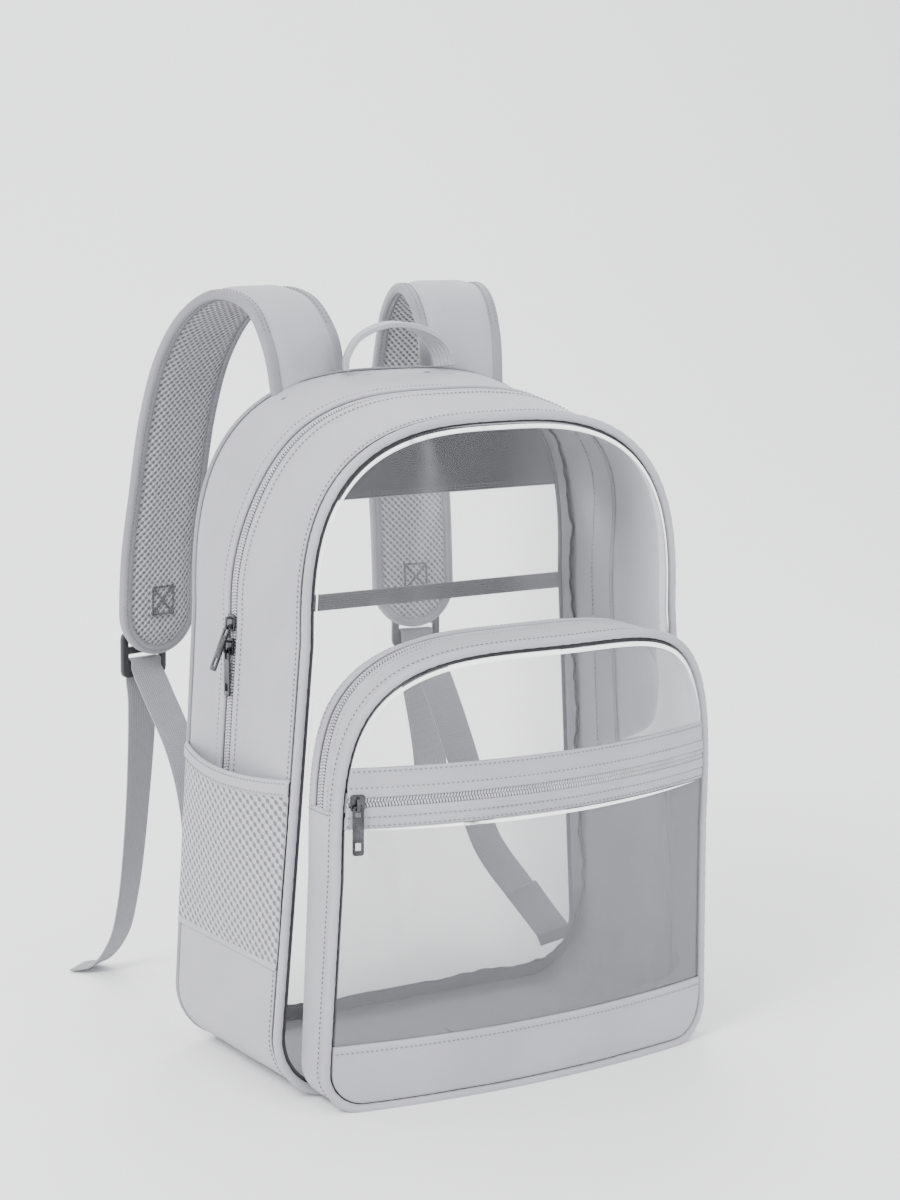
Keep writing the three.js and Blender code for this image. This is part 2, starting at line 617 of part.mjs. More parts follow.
function makeWebbing(label, side, end, tailShare) {
  const plateY = end.y + strapHalfThick + webbingThick + 2 * gap + buckleThick / 2;
  const x0 = end.x + side * buckleShift;
  // the buckle and what hangs in it turn in plan with the pad's end
  const turned = (p) => p.sub(end).applyAxisAngle(V(0, 0, 1), -side * strapTurn).add(end);
  const tailTable = tailTables[label];
  const buckleTop = end.z + buckleHeight / 2;
  const buckleLow = buckleTop - buckleHeight;
  // buckle: three bars and two slots
  const shape = new THREE.Shape();
  const [w, r] = [buckleHalfWidth, buckleCorner];
  shape.moveTo(-w + r, buckleLow);
  shape.lineTo(w - r, buckleLow);
  shape.quadraticCurveTo(w, buckleLow, w, buckleLow + r);
  shape.lineTo(w, buckleTop - r);
  shape.quadraticCurveTo(w, buckleTop, w - r, buckleTop);
  shape.lineTo(-w + r, buckleTop);
  shape.quadraticCurveTo(-w, buckleTop, -w, buckleTop - r);
  shape.lineTo(-w, buckleLow + r);
  shape.quadraticCurveTo(-w, buckleLow, -w + r, buckleLow);
  const slotHalfWidth = webbingWidth / 2 + 1;
  const slotTops = [buckleTop - buckleBar, buckleTop - 2 * buckleBar - buckleSlot];
  for (const top of slotTops) {
    const hole = new THREE.Path();
    hole.moveTo(-slotHalfWidth, top);
    hole.lineTo(-slotHalfWidth, top - buckleSlot);
    hole.lineTo(slotHalfWidth, top - buckleSlot);
    hole.lineTo(slotHalfWidth, top);
    hole.closePath();
    shape.holes.push(hole);
  }
  const plate = extruded(shape, buckleThick);
  plate.rotateX(Math.PI / 2);
  plate.translate(x0 - end.x, plateY + buckleThick / 2 - end.y, 0);
  plate.rotateZ(-side * strapTurn).translate(end.x, end.y, 0);
  add(`ladder_lock_${label}`, plate, 'plastic');

  const clearOf = buckleThick / 2 + gap + webbingThick / 2;
  const acrossX = () => V(Math.cos(strapTurn), -side * Math.sin(strapTurn), 0);
  const corner45 = 0.65;
  // loop from the pad, through the upper slot and back behind the top bar
  const seat = slotTops[0] - gap - webbingThick / 2;
  const top = buckleTop + buckleBar;
  const loop = [
    [-clearOf, top + patchLength], [-clearOf, top], [-clearOf, seat + corner45], [-clearOf + corner45, seat],
    [clearOf - corner45, seat], [clearOf, seat + corner45], [clearOf, top - buckleBar / 2],
    [-clearOf + webbingThick + gap, top + buckleBar], [-clearOf + webbingThick + gap, top + patchLength],
  ].map(([h, z]) => turned(V(x0, plateY + h, z)));
  add(`strap_loop_${label}`, strip(loop, acrossX, webbingWidth - 1, webbingThick), 'webbing');

  // lower webbing: from the corner up to the buckle, over its lower bar, then down as the tail
  const barTop = slotTops[1] - buckleSlot;
  const corner = V(side * (lowHalfWidth - anchorInset), yBack, anchorHeight);
  const route = webbingRoutes[label].map((row) => V(
    mix(x0, corner.x, row.across),
    mix(corner.y, end.y + strapHalfThick, row.back),
    mix(corner.z, barTop, row.up),
  ));
  const over = barTop + gap + webbingThick / 2;
  const [near, far] = [plateY - clearOf, plateY + clearOf];
  const wrap = [[near, barTop - buckleBar], [near, over - corner45], [near + corner45, over],
    [far - corner45, over], [far, over - corner45], [far, barTop - buckleBar]]
    .map(([y, z]) => turned(V(x0, y, z)));
  const tail = tailTable.map((row) => turned(V(
    x0 + side * row.out * strapSplay,
    far + row.back * strapSplay,
    mix(barTop, webbingThick / 2 + gap, row.down),
  )));
  const routeCurve = new THREE.CatmullRomCurve3([wrap[0], ...route]);
  // width direction that stays parallel to the bag's back
  const level = (i, t) => V(Math.abs(t.z), 0, -t.x * Math.sign(t.z));
  const tabStart = 0.82;
  const lap = webbingThick + 2 * gap;
  const laid = span(20).slice(1).map((t) => t * (tabStart + 0.08)).map((t) => {
    const tangent = routeCurve.getTangentAt(t);
    const out = level(0, tangent).cross(tangent).normalize();
    return routeCurve.getPointAt(t).addScaledVector(out, lap * ease(t / tabStart));
  });
  const tailCurve = new THREE.CatmullRomCurve3([wrap[wrap.length - 1], ...tail]);
  const hanging = span(14).slice(1).map((t) => tailCurve.getPointAt(t * tailShare));
  const turnAt = (z) => {
    const share = (barTop - z) / barTop;
    const next = Math.max(1, tailTable.findIndex((row) => row.down >= share));
    const [a, b] = [tailTable[next - 1], tailTable[next]];
    const turn = mix(a.turn, b.turn, Math.max(0, (share - a.down) / (b.down - a.down)));
    return THREE.MathUtils.degToRad(turn);
  };
  const start = laid.length + wrap.length;
  const across = (i, t) => {
    if (i <= laid.length) {
      return level(i, t).applyAxisAngle(V(0, 0, 1), -side * strapTurn * ease(i / laid.length));
    }
    if (i < start) return acrossX();
    const a = turnAt(hanging[i - start].z) + strapTurn;
    return V(Math.cos(a), -side * Math.sin(a), 0);
  };
  const path = [...laid.reverse(), ...wrap, ...hanging];
  add(`lower_webbing_${label}`, strip(path, across, webbingWidth, webbingThick), 'webbing');
  const tab = span(6).map((t) => routeCurve.getPointAt(mix(tabStart, 1, t)));
  add(`corner_tab_${label}`, strip(tab, level, tabWidth, webbingThick), 'webbing');
}

for (const [label, side, tailShare] of [['left', -1, leftTail], ['right', 1, rightTail]]) {
  const { end } = makeStrap(label, side);
  makeWebbing(label, side, end, tailShare);
}

// Haul handle: shares of the half span and rise; turn is the angle of its width from +Y
const handleTable = [
  { across: -1.00, up: 0.00, turn: 25 }, { across: -0.98, up: 0.28, turn: 25 },
  { across: -0.78, up: 0.68, turn: 24 }, { across: -0.38, up: 0.94, turn: 20 },
  { across: 0.00, up: 1.00, turn: 12 }, { across: 0.38, up: 0.92, turn: -5 },
  { across: 0.76, up: 0.62, turn: -25 }, { across: 0.96, up: 0.26, turn: -40 },
  { across: 1.00, up: 0.00, turn: -45 },
];
const handleY = yBack - handleSet;
const handleFoot = topAt(handleY, handleHalfSpan) + handleThick / 2 + handleLift;
const handlePoints = handleTable.map(
  (r) => V(r.across * handleHalfSpan, handleY, handleFoot + r.up * handleRise),
);
const handleAcross = (i) => {
  const a = THREE.MathUtils.degToRad(handleTable[i].turn);
  return V(Math.sin(a), Math.cos(a), 0);
};
add('haul_handle', strip(handlePoints, handleAcross, handleWidth, handleThick), 'webbing');

// Zipper sliders and pull tabs, made lying on a zipper that runs along local Z, outwards along local -X
function manifoldOf(geometry) {
  geometry.deleteAttribute('normal');
  geometry.deleteAttribute('uv');
  const merged = mergeVertices(geometry);
  return new wasm.Manifold(new wasm.Mesh({
    numProp: 3,
    vertProperties: new Float32Array(merged.attributes.position.array),
    triVerts: new Uint32Array(merged.index.array),
  }));
}
function geometryOf(manifold) {
  const mesh = manifold.getMesh();
  const geometry = new THREE.BufferGeometry();
  geometry.setAttribute('position', new THREE.BufferAttribute(mesh.vertProperties, 3));
  geometry.setIndex(Array.from(mesh.triVerts));
  return geometry;
}
const block = (lx, ly, lz, x, y, z) => manifoldOf(new THREE.BoxGeometry(lx, ly, lz).translate(x, y, z));
const axisOut = gap + sliderPlate + (bridgeHeight - 1) / 2; // pivot's distance from the cloth
const axisDown = bridgeOpening - 1;

function sliderGeometry() {
  const nose = sliderLength / 4;
  const outline = new THREE.Shape();
  outline.moveTo(-sliderWidth / 2, -sliderLength / 2 + nose);
  outline.quadraticCurveTo(-sliderWidth / 2, -sliderLength / 2, 0, -sliderLength / 2);
  outline.quadraticCurveTo(sliderWidth / 2, -sliderLength / 2, sliderWidth / 2, -sliderLength / 2 + nose);
  outline.lineTo(sliderWidth / 2, sliderLength / 2 - 1);
  outline.lineTo(sliderWidth / 2 - 1, sliderLength / 2);
  outline.lineTo(-sliderWidth / 2 + 1, sliderLength / 2);
  outline.lineTo(-sliderWidth / 2, sliderLength / 2 - 1);
  outline.closePath();
  const plate = extruded(outline, sliderPlate);
  plate.rotateX(Math.PI / 2).rotateZ(-Math.PI / 2).translate(-gap, 0, 0);
  const base = gap + sliderPlate;
  const opening = bridgeHeight - 1;
  const bridge = block(bridgeHeight + 0.4, bridgeWidth, 2 * bridgeHalf, -base - bridgeHeight / 2 + 0.2, 0, 0)
    .subtract(block(opening, 2 * bridgeWidth, 2 * bridgeOpening, -base - opening / 2, 0, 0));
  return geometryOf(manifoldOf(plate).add(bridge));
}

function tabGeometry() {
  const bar = 0.7;
  const eye = bridgeHalf + bridgeOpening;
  const shape = new THREE.Shape();
  const c = tabChamfer;
  shape.moveTo(-tabHalf + c, bar);
  shape.lineTo(tabHalf - c, bar);
  shape.lineTo(tabHalf, -bar);
  shape.lineTo(tabHalf, -tabLength + c);
  shape.lineTo(tabHalf - c, -tabLength);
  shape.lineTo(-tabHalf + c, -tabLength);
  shape.lineTo(-tabHalf, -tabLength + c);
  shape.lineTo(-tabHalf, -bar);
  shape.closePath();
  const windows = [
    { half: bridgeWidth / 2 + tabEyePlay, top: -bar, low: -eye },
    { half: tabHalf / 2, top: -tabLength + tabWindowFar, low: -tabLength + tabWindowNear },
  ];
  for (const { half, top, low } of windows) {
    const hole = new THREE.Path();
    hole.moveTo(-half, top);
    hole.lineTo(-half, low);
    hole.lineTo(half, low);
    hole.lineTo(half, top);
    hole.closePath();
    shape.holes.push(hole);
  }
  const plate = extruded(shape, tabThick);
  return plate.rotateX(Math.PI / 2).rotateZ(-Math.PI / 2).translate(tabThick / 2, 0, 0);
}

// at: where the slider sits on the cloth; turn: heading of its outward side about Z;
// tilt: lean of the cloth; rest: how far the tab leans out from hanging straight down
function zipperHardware(name, at, turn, tilt, rest) {
  const holder = new THREE.Group();
  holder.position.copy(at);
  holder.rotation.set(0, 0, turn);
  const leaning = new THREE.Group();
  leaning.rotation.y = tilt;
  holder.add(leaning);
  const slider = new THREE.Mesh(sliderGeometry(), finishes.metal());
  slider.name = `${name}_slider`;
  leaning.add(slider);
  const pivot = V(-axisOut, 0, -axisDown).applyAxisAngle(V(0, 1, 0), tilt);
  const tab = new THREE.Mesh(tabGeometry(), finishes.metal());
  tab.name = `${name}_pull`;
  tab.position.copy(pivot);
  tab.rotation.y = THREE.MathUtils.degToRad(rest);
  holder.add(tab);
  group.add(holder);
  return holder;
}

// lean of a side wall at a height
const leanAt = (loop, z) => Math.atan(
  (halfWidthAt(loop, z - sliderLength / 2) - halfWidthAt(loop, z + sliderLength / 2)) / sliderLength,
);
for (const [name, z, rest] of [
  ['main_upper', upperSliderHeight, tabRest],
  ['main_lower', upperSliderHeight - sliderPitch, 0],
]) {
  const y = zipperY(0, z);
  const zipperLoop = mainOutline(y);
  const at = V(-halfWidthAt(zipperLoop, z) - gap / 2, y, z);
  zipperHardware(name, at, 0, leanAt(zipperLoop, z), rest);
}

const frontSliderX = -halfWidthAt(pocketRim, frontZipHeight) + frontSliderSet;
const faceAt = (x, z) => pocketY(x, z) - cloth / 2;
const faceTurn = Math.PI / 2 - Math.atan((faceAt(frontSliderX + 1, frontZipHeight)
  - faceAt(frontSliderX - 1, frontZipHeight)) / -2);
const faceLean = Math.atan((faceAt(frontSliderX, frontZipHeight + 1)
  - faceAt(frontSliderX, frontZipHeight - 1)) / 2);
zipperHardware('front', V(frontSliderX, faceAt(frontSliderX, frontZipHeight) - gap / 2, frontZipHeight),
  faceTurn, faceLean, 0);

const pocketSliderZ = pocketSplit + pocketSliderRise;
const pocketSideX = halfWidthAt(pocketOutline(), pocketSliderZ);
zipperHardware('pocket',
  V(pocketSideX + gap / 2, pocketZipY(pocketSideX, pocketSliderZ), pocketSliderZ),
  Math.PI, leanAt(pocketOutline(), pocketSliderZ), 0);

export default group;
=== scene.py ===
# %% [markdown]
# # A clear stadium backpack
#
# The bag has a light grey cloth frame, clear sheets at the front and back, a smaller pocket in front,
# net pockets at the sides and padded straps behind. The solids of the part are loaded first, and every
# soft piece below is a finer surface laid where its solid is. Lengths are in millimetres until a mesh
# is made, because sewing is measured that way, and each mesh is then stored in metres.

# %% Load the solids
import math

import bmesh
import bpy
import numpy as np
from mathutils import Matrix


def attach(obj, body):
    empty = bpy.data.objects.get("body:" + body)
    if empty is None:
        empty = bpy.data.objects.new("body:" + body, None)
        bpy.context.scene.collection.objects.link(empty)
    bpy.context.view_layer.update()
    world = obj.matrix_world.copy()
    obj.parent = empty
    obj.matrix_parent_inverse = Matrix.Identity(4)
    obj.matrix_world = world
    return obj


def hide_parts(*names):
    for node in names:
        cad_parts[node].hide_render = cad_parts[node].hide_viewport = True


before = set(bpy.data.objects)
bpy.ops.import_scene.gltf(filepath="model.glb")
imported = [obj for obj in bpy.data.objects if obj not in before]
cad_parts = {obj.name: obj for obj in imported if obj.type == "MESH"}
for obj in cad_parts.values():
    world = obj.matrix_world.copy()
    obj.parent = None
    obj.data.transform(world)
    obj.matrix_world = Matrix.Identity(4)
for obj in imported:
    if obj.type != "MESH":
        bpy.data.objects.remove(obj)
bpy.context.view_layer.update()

# %% [markdown]
# ## Camera
#
# The photograph looks at the bag's left front corner from a little above, with a long lens. The place,
# turn and lens come from a fit of the bag's seams to the picture. Three directions describe a camera
# plainly: where it looks, its right, and its up; they fill the columns of its matrix.

# %% Place the camera
turn, pitch, roll = np.radians([32.50, 9.78, 0.46])
look = np.array([np.sin(turn) * np.cos(pitch), np.cos(turn) * np.cos(pitch), -np.sin(pitch)])
right = np.array([np.cos(turn), -np.sin(turn), 0.0])
up = np.cross(right, look)
right, up = np.cos(roll) * right + np.sin(roll) * up, np.cos(roll) * up - np.sin(roll) * right
camera_place = (-0.96084, -1.52118, 0.60336)
camera = bpy.data.objects.new("camera", bpy.data.cameras.new("camera"))
camera.data.lens = 84.0
camera.data.sensor_width = 36.0
columns = np.column_stack([right, up, -look])
camera.matrix_world = Matrix.Translation(camera_place) @ Matrix(columns.tolist()).to_4x4()
bpy.context.scene.collection.objects.link(camera)
bpy.context.scene.camera = camera
print("camera at", camera_place)

# %% [markdown]
# ## Meshes from grids
#
# Cloth is a surface, so each piece starts as a grid of points: rows run along the seam and columns
# across it. A second grid lies under the first, and closing the rims gives the cloth its thickness.
# The flat pattern (UV) is measured in metres along the rows and columns, so that weave keeps its size
# and follows the cloth round every bend. Faces must point outwards: the signed volume tells.

# %% Grid tools
def face_corners(rows, cols, wrap):
    """Corner numbers of each face of a grid: for the points, where a wrapped grid's last row is its
    first, and for the flat pattern, where it is one row more."""
    i, j = np.meshgrid(np.arange(rows if wrap else rows - 1), np.arange(cols - 1), indexing="ij")
    steps = [(i, j), (i + 1, j), (i + 1, j + 1), (i, j + 1)]
    points = np.stack([(a % rows) * cols + b for a, b in steps], -1).reshape(-1, 4)
    pattern = np.stack([a * cols + b for a, b in steps], -1).reshape(-1, 4)
    return points, pattern


def flat_pattern(grid, wrap):
    """Distance along the middle column and along each row, in metres."""
    looped = np.concatenate([grid, grid[:1]]) if wrap else grid
    middle = looped[:, looped.shape[1] // 2]
    along = np.r_[0, np.cumsum(np.linalg.norm(np.diff(middle, axis=0), axis=1))]
    across = np.cumsum(np.linalg.norm(np.diff(looped, axis=1), axis=2), axis=1)
    across = np.concatenate([np.zeros((len(looped), 1)), across], axis=1)
    across -= across[:, -1:] / 2
    return np.stack([np.broadcast_to(along[:, None], across.shape), across], -1) / 1000


def unit(v):
    """Vectors of length one."""
    return v / np.linalg.norm(v, axis=-1, keepdims=True)


def put_mesh(name, points, faces, pattern, material, nodes):
    """Makes the mesh and its object, gives it its finish, and hides the solids it stands for. It rides
    on the bag."""
    volume = 0.0
    for k in range(1, faces.shape[1] - 1):
        a, b, c = points[faces[:, 0]], points[faces[:, k]], points[faces[:, k + 1]]
        volume += np.einsum("ij,ij->", a, np.cross(b, c))
    if volume < 0:
        faces = faces[:, ::-1]
        pattern = pattern[:, ::-1]
    mesh = bpy.data.meshes.new(name)
    mesh.vertices.add(len(points))
    mesh.vertices.foreach_set("co", (points / 1000).astype(np.float32).ravel())
    mesh.loops.add(faces.size)
    mesh.loops.foreach_set("vertex_index", faces.astype(np.int32).ravel())
    mesh.polygons.add(len(faces))
    mesh.polygons.foreach_set("loop_start", np.arange(0, faces.size, faces.shape[1], dtype=np.int32))
    layer = mesh.uv_layers.new(name="pattern")
    layer.data.foreach_set("uv", pattern.astype(np.float32).ravel())
    mesh.update(calc_edges=True)
    mesh.validate()
    mesh.polygons.foreach_set("use_smooth", np.full(len(mesh.polygons), True))
    mesh.materials.append(material)
    piece = bpy.data.objects.new(name, mesh)
    bpy.context.scene.collection.objects.link(piece)
    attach(piece, "bag")
    if nodes:
        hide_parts(*nodes)
    return piece


def cloth_piece(name, outer, inner, material, nodes=(), wrap=False):
    """A closed sheet between two grids of the same shape."""
    rows, cols = outer.shape[:2]
    count = rows * cols
    front, front_uv = face_corners(rows, cols, wrap)
    uv = flat_pattern(outer, wrap).reshape(-1, 2)
    faces = [front, front[:, ::-1] + count]
    patterns = [uv[front_uv], uv[front_uv][:, ::-1]]
    i = np.arange(rows if wrap else rows - 1)
    for col, flip in ((0, 1), (cols - 1, -1)):
        a, b = (i % rows) * cols + col, ((i + 1) % rows) * cols + col
        rim = np.stack([a, a + count, b + count, b], -1)[:, ::flip]
        ua, ub = uv[i * cols + col], uv[(i + 1) * cols + col]
        faces.append(rim)
        patterns.append(np.stack([ua, ua, ub, ub], 1)[:, ::flip])
    if not wrap:
        j = np.arange(cols - 1)
        for row, flip in ((0, 1), (rows - 1, -1)):
            a, b = row * cols + j, row * cols + j + 1
            rim = np.stack([a, b, b + count, a + count], -1)[:, ::flip]
            faces.append(rim)
            patterns.append(np.stack([uv[a], uv[b], uv[b], uv[a]], 1)[:, ::flip])
    points = np.concatenate([outer.reshape(-1, 3), inner.reshape(-1, 3)])
    return put_mesh(name, points, np.concatenate(faces), np.concatenate(patterns), material, nodes)


def rolled_piece(name, sections, material, nodes=(), wrap=False):
    """A closed roll: rows along its length, columns round its section. Open ends get a cap."""
    rows, sides = sections.shape[:2]
    closed = np.concatenate([sections, sections[:, :1]], axis=1)
    _, uv_faces = face_corners(rows, sides + 1, wrap)
    uv = flat_pattern(closed, wrap).reshape(-1, 2)
    row, col = np.divmod(uv_faces, sides + 1)
    faces = (row % rows) * sides + col % sides
    patterns = uv[uv_faces]
    points = sections.reshape(-1, 3)
    if not wrap:
        ends = np.stack([sections[0].mean(0), sections[-1].mean(0)])
        points = np.concatenate([points, ends])
        j = np.arange(sides)
        for start, tip, flip in ((0, rows * sides, 1), ((rows - 1) * sides, rows * sides + 1, -1)):
            cap = np.stack([start + j, start + (j + 1) % sides, np.full(sides, tip),
                            np.full(sides, tip)], -1)[:, ::flip]
            faces = np.concatenate([faces, cap])
            patterns = np.concatenate([patterns, np.zeros((sides, 4, 2))])
    faces, patterns = as_triangles_where_flat(faces, patterns)
    return put_mesh(name, points, faces, patterns, material, nodes)


def as_triangles_where_flat(faces, patterns):
    """Caps come as quads with a doubled corner; splitting every quad in two lets those be dropped."""
    halves = np.concatenate([faces[:, [0, 1, 2]], faces[:, [0, 2, 3]]])
    flats = np.concatenate([patterns[:, [0, 1, 2]], patterns[:, [0, 2, 3]]])
    whole = (halves[:, 0] != halves[:, 1]) & (halves[:, 1] != halves[:, 2]) & (halves[:, 0] != halves[:, 2])
    return halves[whole], flats[whole]


def smooth_step(t):
    """0 below 0, 1 above 1, an S between."""
    t = np.clip(t, 0, 1)
    return t * t * (3 - 2 * t)


def even_points(points, count):
    """The same line, cut into count steps of equal length."""
    length = np.r_[0, np.cumsum(np.linalg.norm(np.diff(points, axis=0), axis=1))]
    at = np.linspace(0, length[-1], count + 1)
    return np.stack([np.interp(at, length, points[:, k]) for k in range(points.shape[1])], -1)


def ripple(a, b, size, seed=0.0):
    """A gentle unevenness of cloth, about 1 high: five slow waves that cross at different angles."""
    total = 0
    for k, (p, q) in enumerate([(1, 0.3), (-0.6, 1.1), (1.7, 0.9), (0.4, -1.9), (2.3, 1.4)]):
        total = total + np.sin((a * p + b * q) * 2 * np.pi / size + seed * (k + 1) * 1.7 + k) / (k + 1.5)
    return total / 1.7


# %% [markdown]
# ## Finishes
#
# A finish is a small network of shader nodes. Writing such a network as arithmetic keeps it readable:
# the class below wraps one socket, and `mask * 0.2 + 0.5` adds the two Math nodes that compute it.
# Fine detail that the eye reads as cloth, such as weave and ribs, is a height that goes through a Bump
# node. Numbers that don't change over the surface are set on the shader itself.

# %% Shader arithmetic
class Wire:
    """A value on its way through a finish's nodes."""

    def __init__(self, tree, socket):
        self.tree, self.socket = tree, socket

    def node(self, kind, inputs, output=0, **settings):
        made = self.tree.nodes.new(kind)
        for key, value in settings.items():
            setattr(made, key, value)
        for key, value in inputs.items():
            if isinstance(value, Wire):
                self.tree.links.new(value.socket, made.inputs[key])
            else:
                made.inputs[key].default_value = value
        return Wire(self.tree, made.outputs[output])

    def math(self, operation, *others):
        return self.node("ShaderNodeMath", dict(enumerate((self, *others))), operation=operation)

    def __add__(self, other):
        return self.math("ADD", other)

    def __mul__(self, other):
        return self.math("MULTIPLY", other)

    def __sub__(self, other):
        return self.math("SUBTRACT", other)

    def sin(self):
        return self.math("SINE")

    def step_between(self, low, high):
        """0 below low, 1 above high, an S between."""
        return self.node("ShaderNodeMapRange", {0: self, 1: low, 2: high}, interpolation_type="SMOOTHSTEP")


def new_finish(name):
    """An empty material, its Principled shader, and wires for the flat pattern and for object space."""
    material = bpy.data.materials.new(name)
    material.use_nodes = True
    tree = material.node_tree
    tree.nodes.clear()
    shader = tree.nodes.new("ShaderNodeBsdfPrincipled")
    output = tree.nodes.new("ShaderNodeOutputMaterial")
    tree.links.new(shader.outputs[0], output.inputs[0])
    coords = tree.nodes.new("ShaderNodeTexCoord")
    flat = tree.nodes.new("ShaderNodeUVMap")
    flat.uv_map = "pattern"
    return material, shader, Wire(tree, flat.outputs[0]), Wire(tree, coords.outputs["Object"])


def plug(shader, **values):
    """Links or sets the shader's sockets by name, with _ for a space."""
    for key, value in values.items():
        socket = shader.inputs[key.replace("_", " ")]
        if isinstance(value, Wire):
            value.tree.links.new(value.socket, socket)
        else:
            socket.default_value = value


def parts_of(vector):
    """The x, y and z of a vector wire."""
    split = vector.tree.nodes.new("ShaderNodeSeparateXYZ")
    vector.tree.links.new(vector.socket, split.inputs[0])
    return [Wire(vector.tree, out) for out in split.outputs]


def noise(vector, scale, detail=2.0):
    return vector.node("ShaderNodeTexNoise", {"Vector": vector, "Scale": scale, "Detail": detail},
                       output="Fac")


def between(mask, low, high):
    """Mixes two colours by a mask."""
    return mask.node("ShaderNodeMix", {0: mask, 6: (*low, 1), 7: (*high, 1)}, output=2, data_type="RGBA")


def bump(height, distance, strength):
    return height.node("ShaderNodeBump", {"Height": height, "Distance": distance, "Strength": strength})


# %% [markdown]
# ### Woven polyester
#
# The frame is plain woven polyester, light grey and slightly violet. Each thread goes over one and
# under the next, so the height is one wave along times one wave across. The weave is fine: about
# 0.7 mm from thread to thread. A slow noise makes the grey uneven by a few parts in a hundred.

# %% Cloth
full_turn, quarter_turn = 2 * math.pi, 1.57


def woven(name, dark, light, pitch=0.0007, depth=0.00012, sheen=0.25, foot=None):
    """Woven cloth. With foot, a pair of heights, it is dark below the first and light above the other:
    painted shade low down in the bag.
    """
    material, shader, flat, space = new_finish(name)
    u, v, _ = parts_of(flat)
    weave = (u * (full_turn / pitch)).sin() * (v * (full_turn / pitch)).sin()
    cloud = noise(space, 14.0, 4.0)
    fuzz = noise(space, 900.0, 2.0)
    tone = cloud * 0.75 + fuzz * 0.25 + weave * 0.06
    if foot:
        # painted shade: the colour turns nearly black below the first height
        tone = parts_of(space)[2].step_between(*foot) * 0.5 + tone * 0.2 + 0.16
    plug(shader, Base_Color=between(tone.step_between(0.25, 0.8), dark, light),
         Roughness=fuzz * 0.12 + 0.80, Sheen_Weight=sheen, Sheen_Roughness=0.5,
         Specular_IOR_Level=0.3,
         Normal=bump(weave * 0.5 + fuzz * 0.6 + cloud * 2.0, depth, 0.55))
    return material


cloth = woven("cloth", (0.34, 0.336, 0.365), (0.41, 0.406, 0.435))
# zipper tape: darker than the cloth, so the slots show painted shade under the folded hems on both sides
zipper_tape_painted_shade = woven("zipper_tape_painted_shade", (0.30, 0.298, 0.315), (0.36, 0.358, 0.375))
# near-black cloth: painted shade for the inside of the yoke, seen through the clear sheets
painted_shade_sheet = woven("painted_shade_sheet", (0.028, 0.028, 0.030), (0.055, 0.0545, 0.058), depth=0.00004, sheen=0.0)
tape = woven("tape", (0.16, 0.159, 0.168), (0.235, 0.233, 0.245), pitch=0.0012, depth=0.0002)
# the inside seam tape: painted shade makes it nearly black below 30 mm; it is light above 90 mm
seam_fold = woven("seam_fold", (0.040, 0.0395, 0.042), (0.30, 0.298, 0.315), pitch=0.0012, depth=0.0002,
                  foot=(0.03, 0.09))
edge_tape = woven("edge_tape", (0.21, 0.208, 0.226), (0.28, 0.277, 0.298), pitch=0.0011, depth=0.0002)
# near-black cloth for painted shadow lines: under the seam tape's edge and in the gaps behind the rims of the
# clear fronts
seam_shadow = woven("seam_shadow", (0.03, 0.03, 0.032), (0.06, 0.06, 0.062), sheen=0.0)
# dark thread for the patch stitches, and painted shade for the crease line beside the front piping
dark_thread_and_shade = woven("dark_thread_and_shade", (0.07, 0.0695, 0.074), (0.12, 0.119, 0.126), pitch=0.0004, sheen=0.0)
# stitch thread: darker than the cloth, as painted shade of the needle holes it sits in
thread_with_hole_shade = woven("thread_with_hole_shade", (0.16, 0.159, 0.166), (0.23, 0.229, 0.238), pitch=0.0004, depth=0.0001, sheen=0.0)

# %% [markdown]
# ### Clear sheet
#
# Soft clear sheet is nearly invisible from straight on and shows mostly by what it mirrors, more so
# where it is seen at a slant, so its solidity grows with Layer Weight. It was folded in a box, which
# leaves a white haze in soft upright streaks and dents that break the mirror image up. Towards the right
# the haze is painted thicker, a painted sheen where the crowned sheet turns away from the eye. Where the
# sheet rolls back into its seam the roll would mirror the sky as a crisp white line; that line is a painted
# highlight, a white strip of its own that glows a little.

# %% Clear sheet
def clear_sheet(name, base=0.02, tint_and_shade=(0.90, 0.90, 0.93)):
    """Soft clear sheet: base is how solid it is seen straight on where there is no haze."""
    material, shader, flat, space = new_finish(name)
    haze, edge = 0.17, 0.36
    slant = flat.node("ShaderNodeLayerWeight", {"Blend": 0.2}, output="Fresnel")
    upright = space.node("ShaderNodeMapping", {"Vector": space, "Scale": (14, 14, 4)})
    streaks, clouds = noise(upright, 1.6, 3.0), noise(space, 6.0, 2.0)
    dents = noise(upright, 1.1, 1.0)
    veil = streaks.step_between(0.54, 0.86) * clouds.step_between(0.35, 0.7)
    # painted sheen: the sheet is made more solid and white on the bag's right side, where it turns away from
    # the eye
    rounded = parts_of(space)[0].step_between(0.085, 0.135)
    plug(shader, Base_Color=(*tint_and_shade, 1), Metallic=0.06, Roughness=0.24, Specular_IOR_Level=0.4,
         Alpha=slant * edge + veil * haze + rounded * 0.13 + base, Normal=bump(dents, 0.006, 0.3))
    return material


def glint(name):
    """The white line on a rolled edge, broken here and there: a painted highlight, white and glowing a
    little.
    """
    material, shader, _, space = new_finish(name)
    breaks = noise(space, 34.0, 3.0)
    plug(shader, Base_Color=(0.98, 0.98, 0.98, 1), Roughness=0.25,
         Emission_Color=(1.0, 1.0, 1.0, 1), Emission_Strength=0.45,
         Alpha=breaks.step_between(0.25, 0.40))
    return material


clear, glint_line = clear_sheet("clear"), glint("glint_line")
# the lower clear panel is made dark and more solid: painted shade of the pocket's inside seen through it
clear_painted_shade = clear_sheet("clear_painted_shade", base=0.22, tint_and_shade=(0.24, 0.238, 0.256))

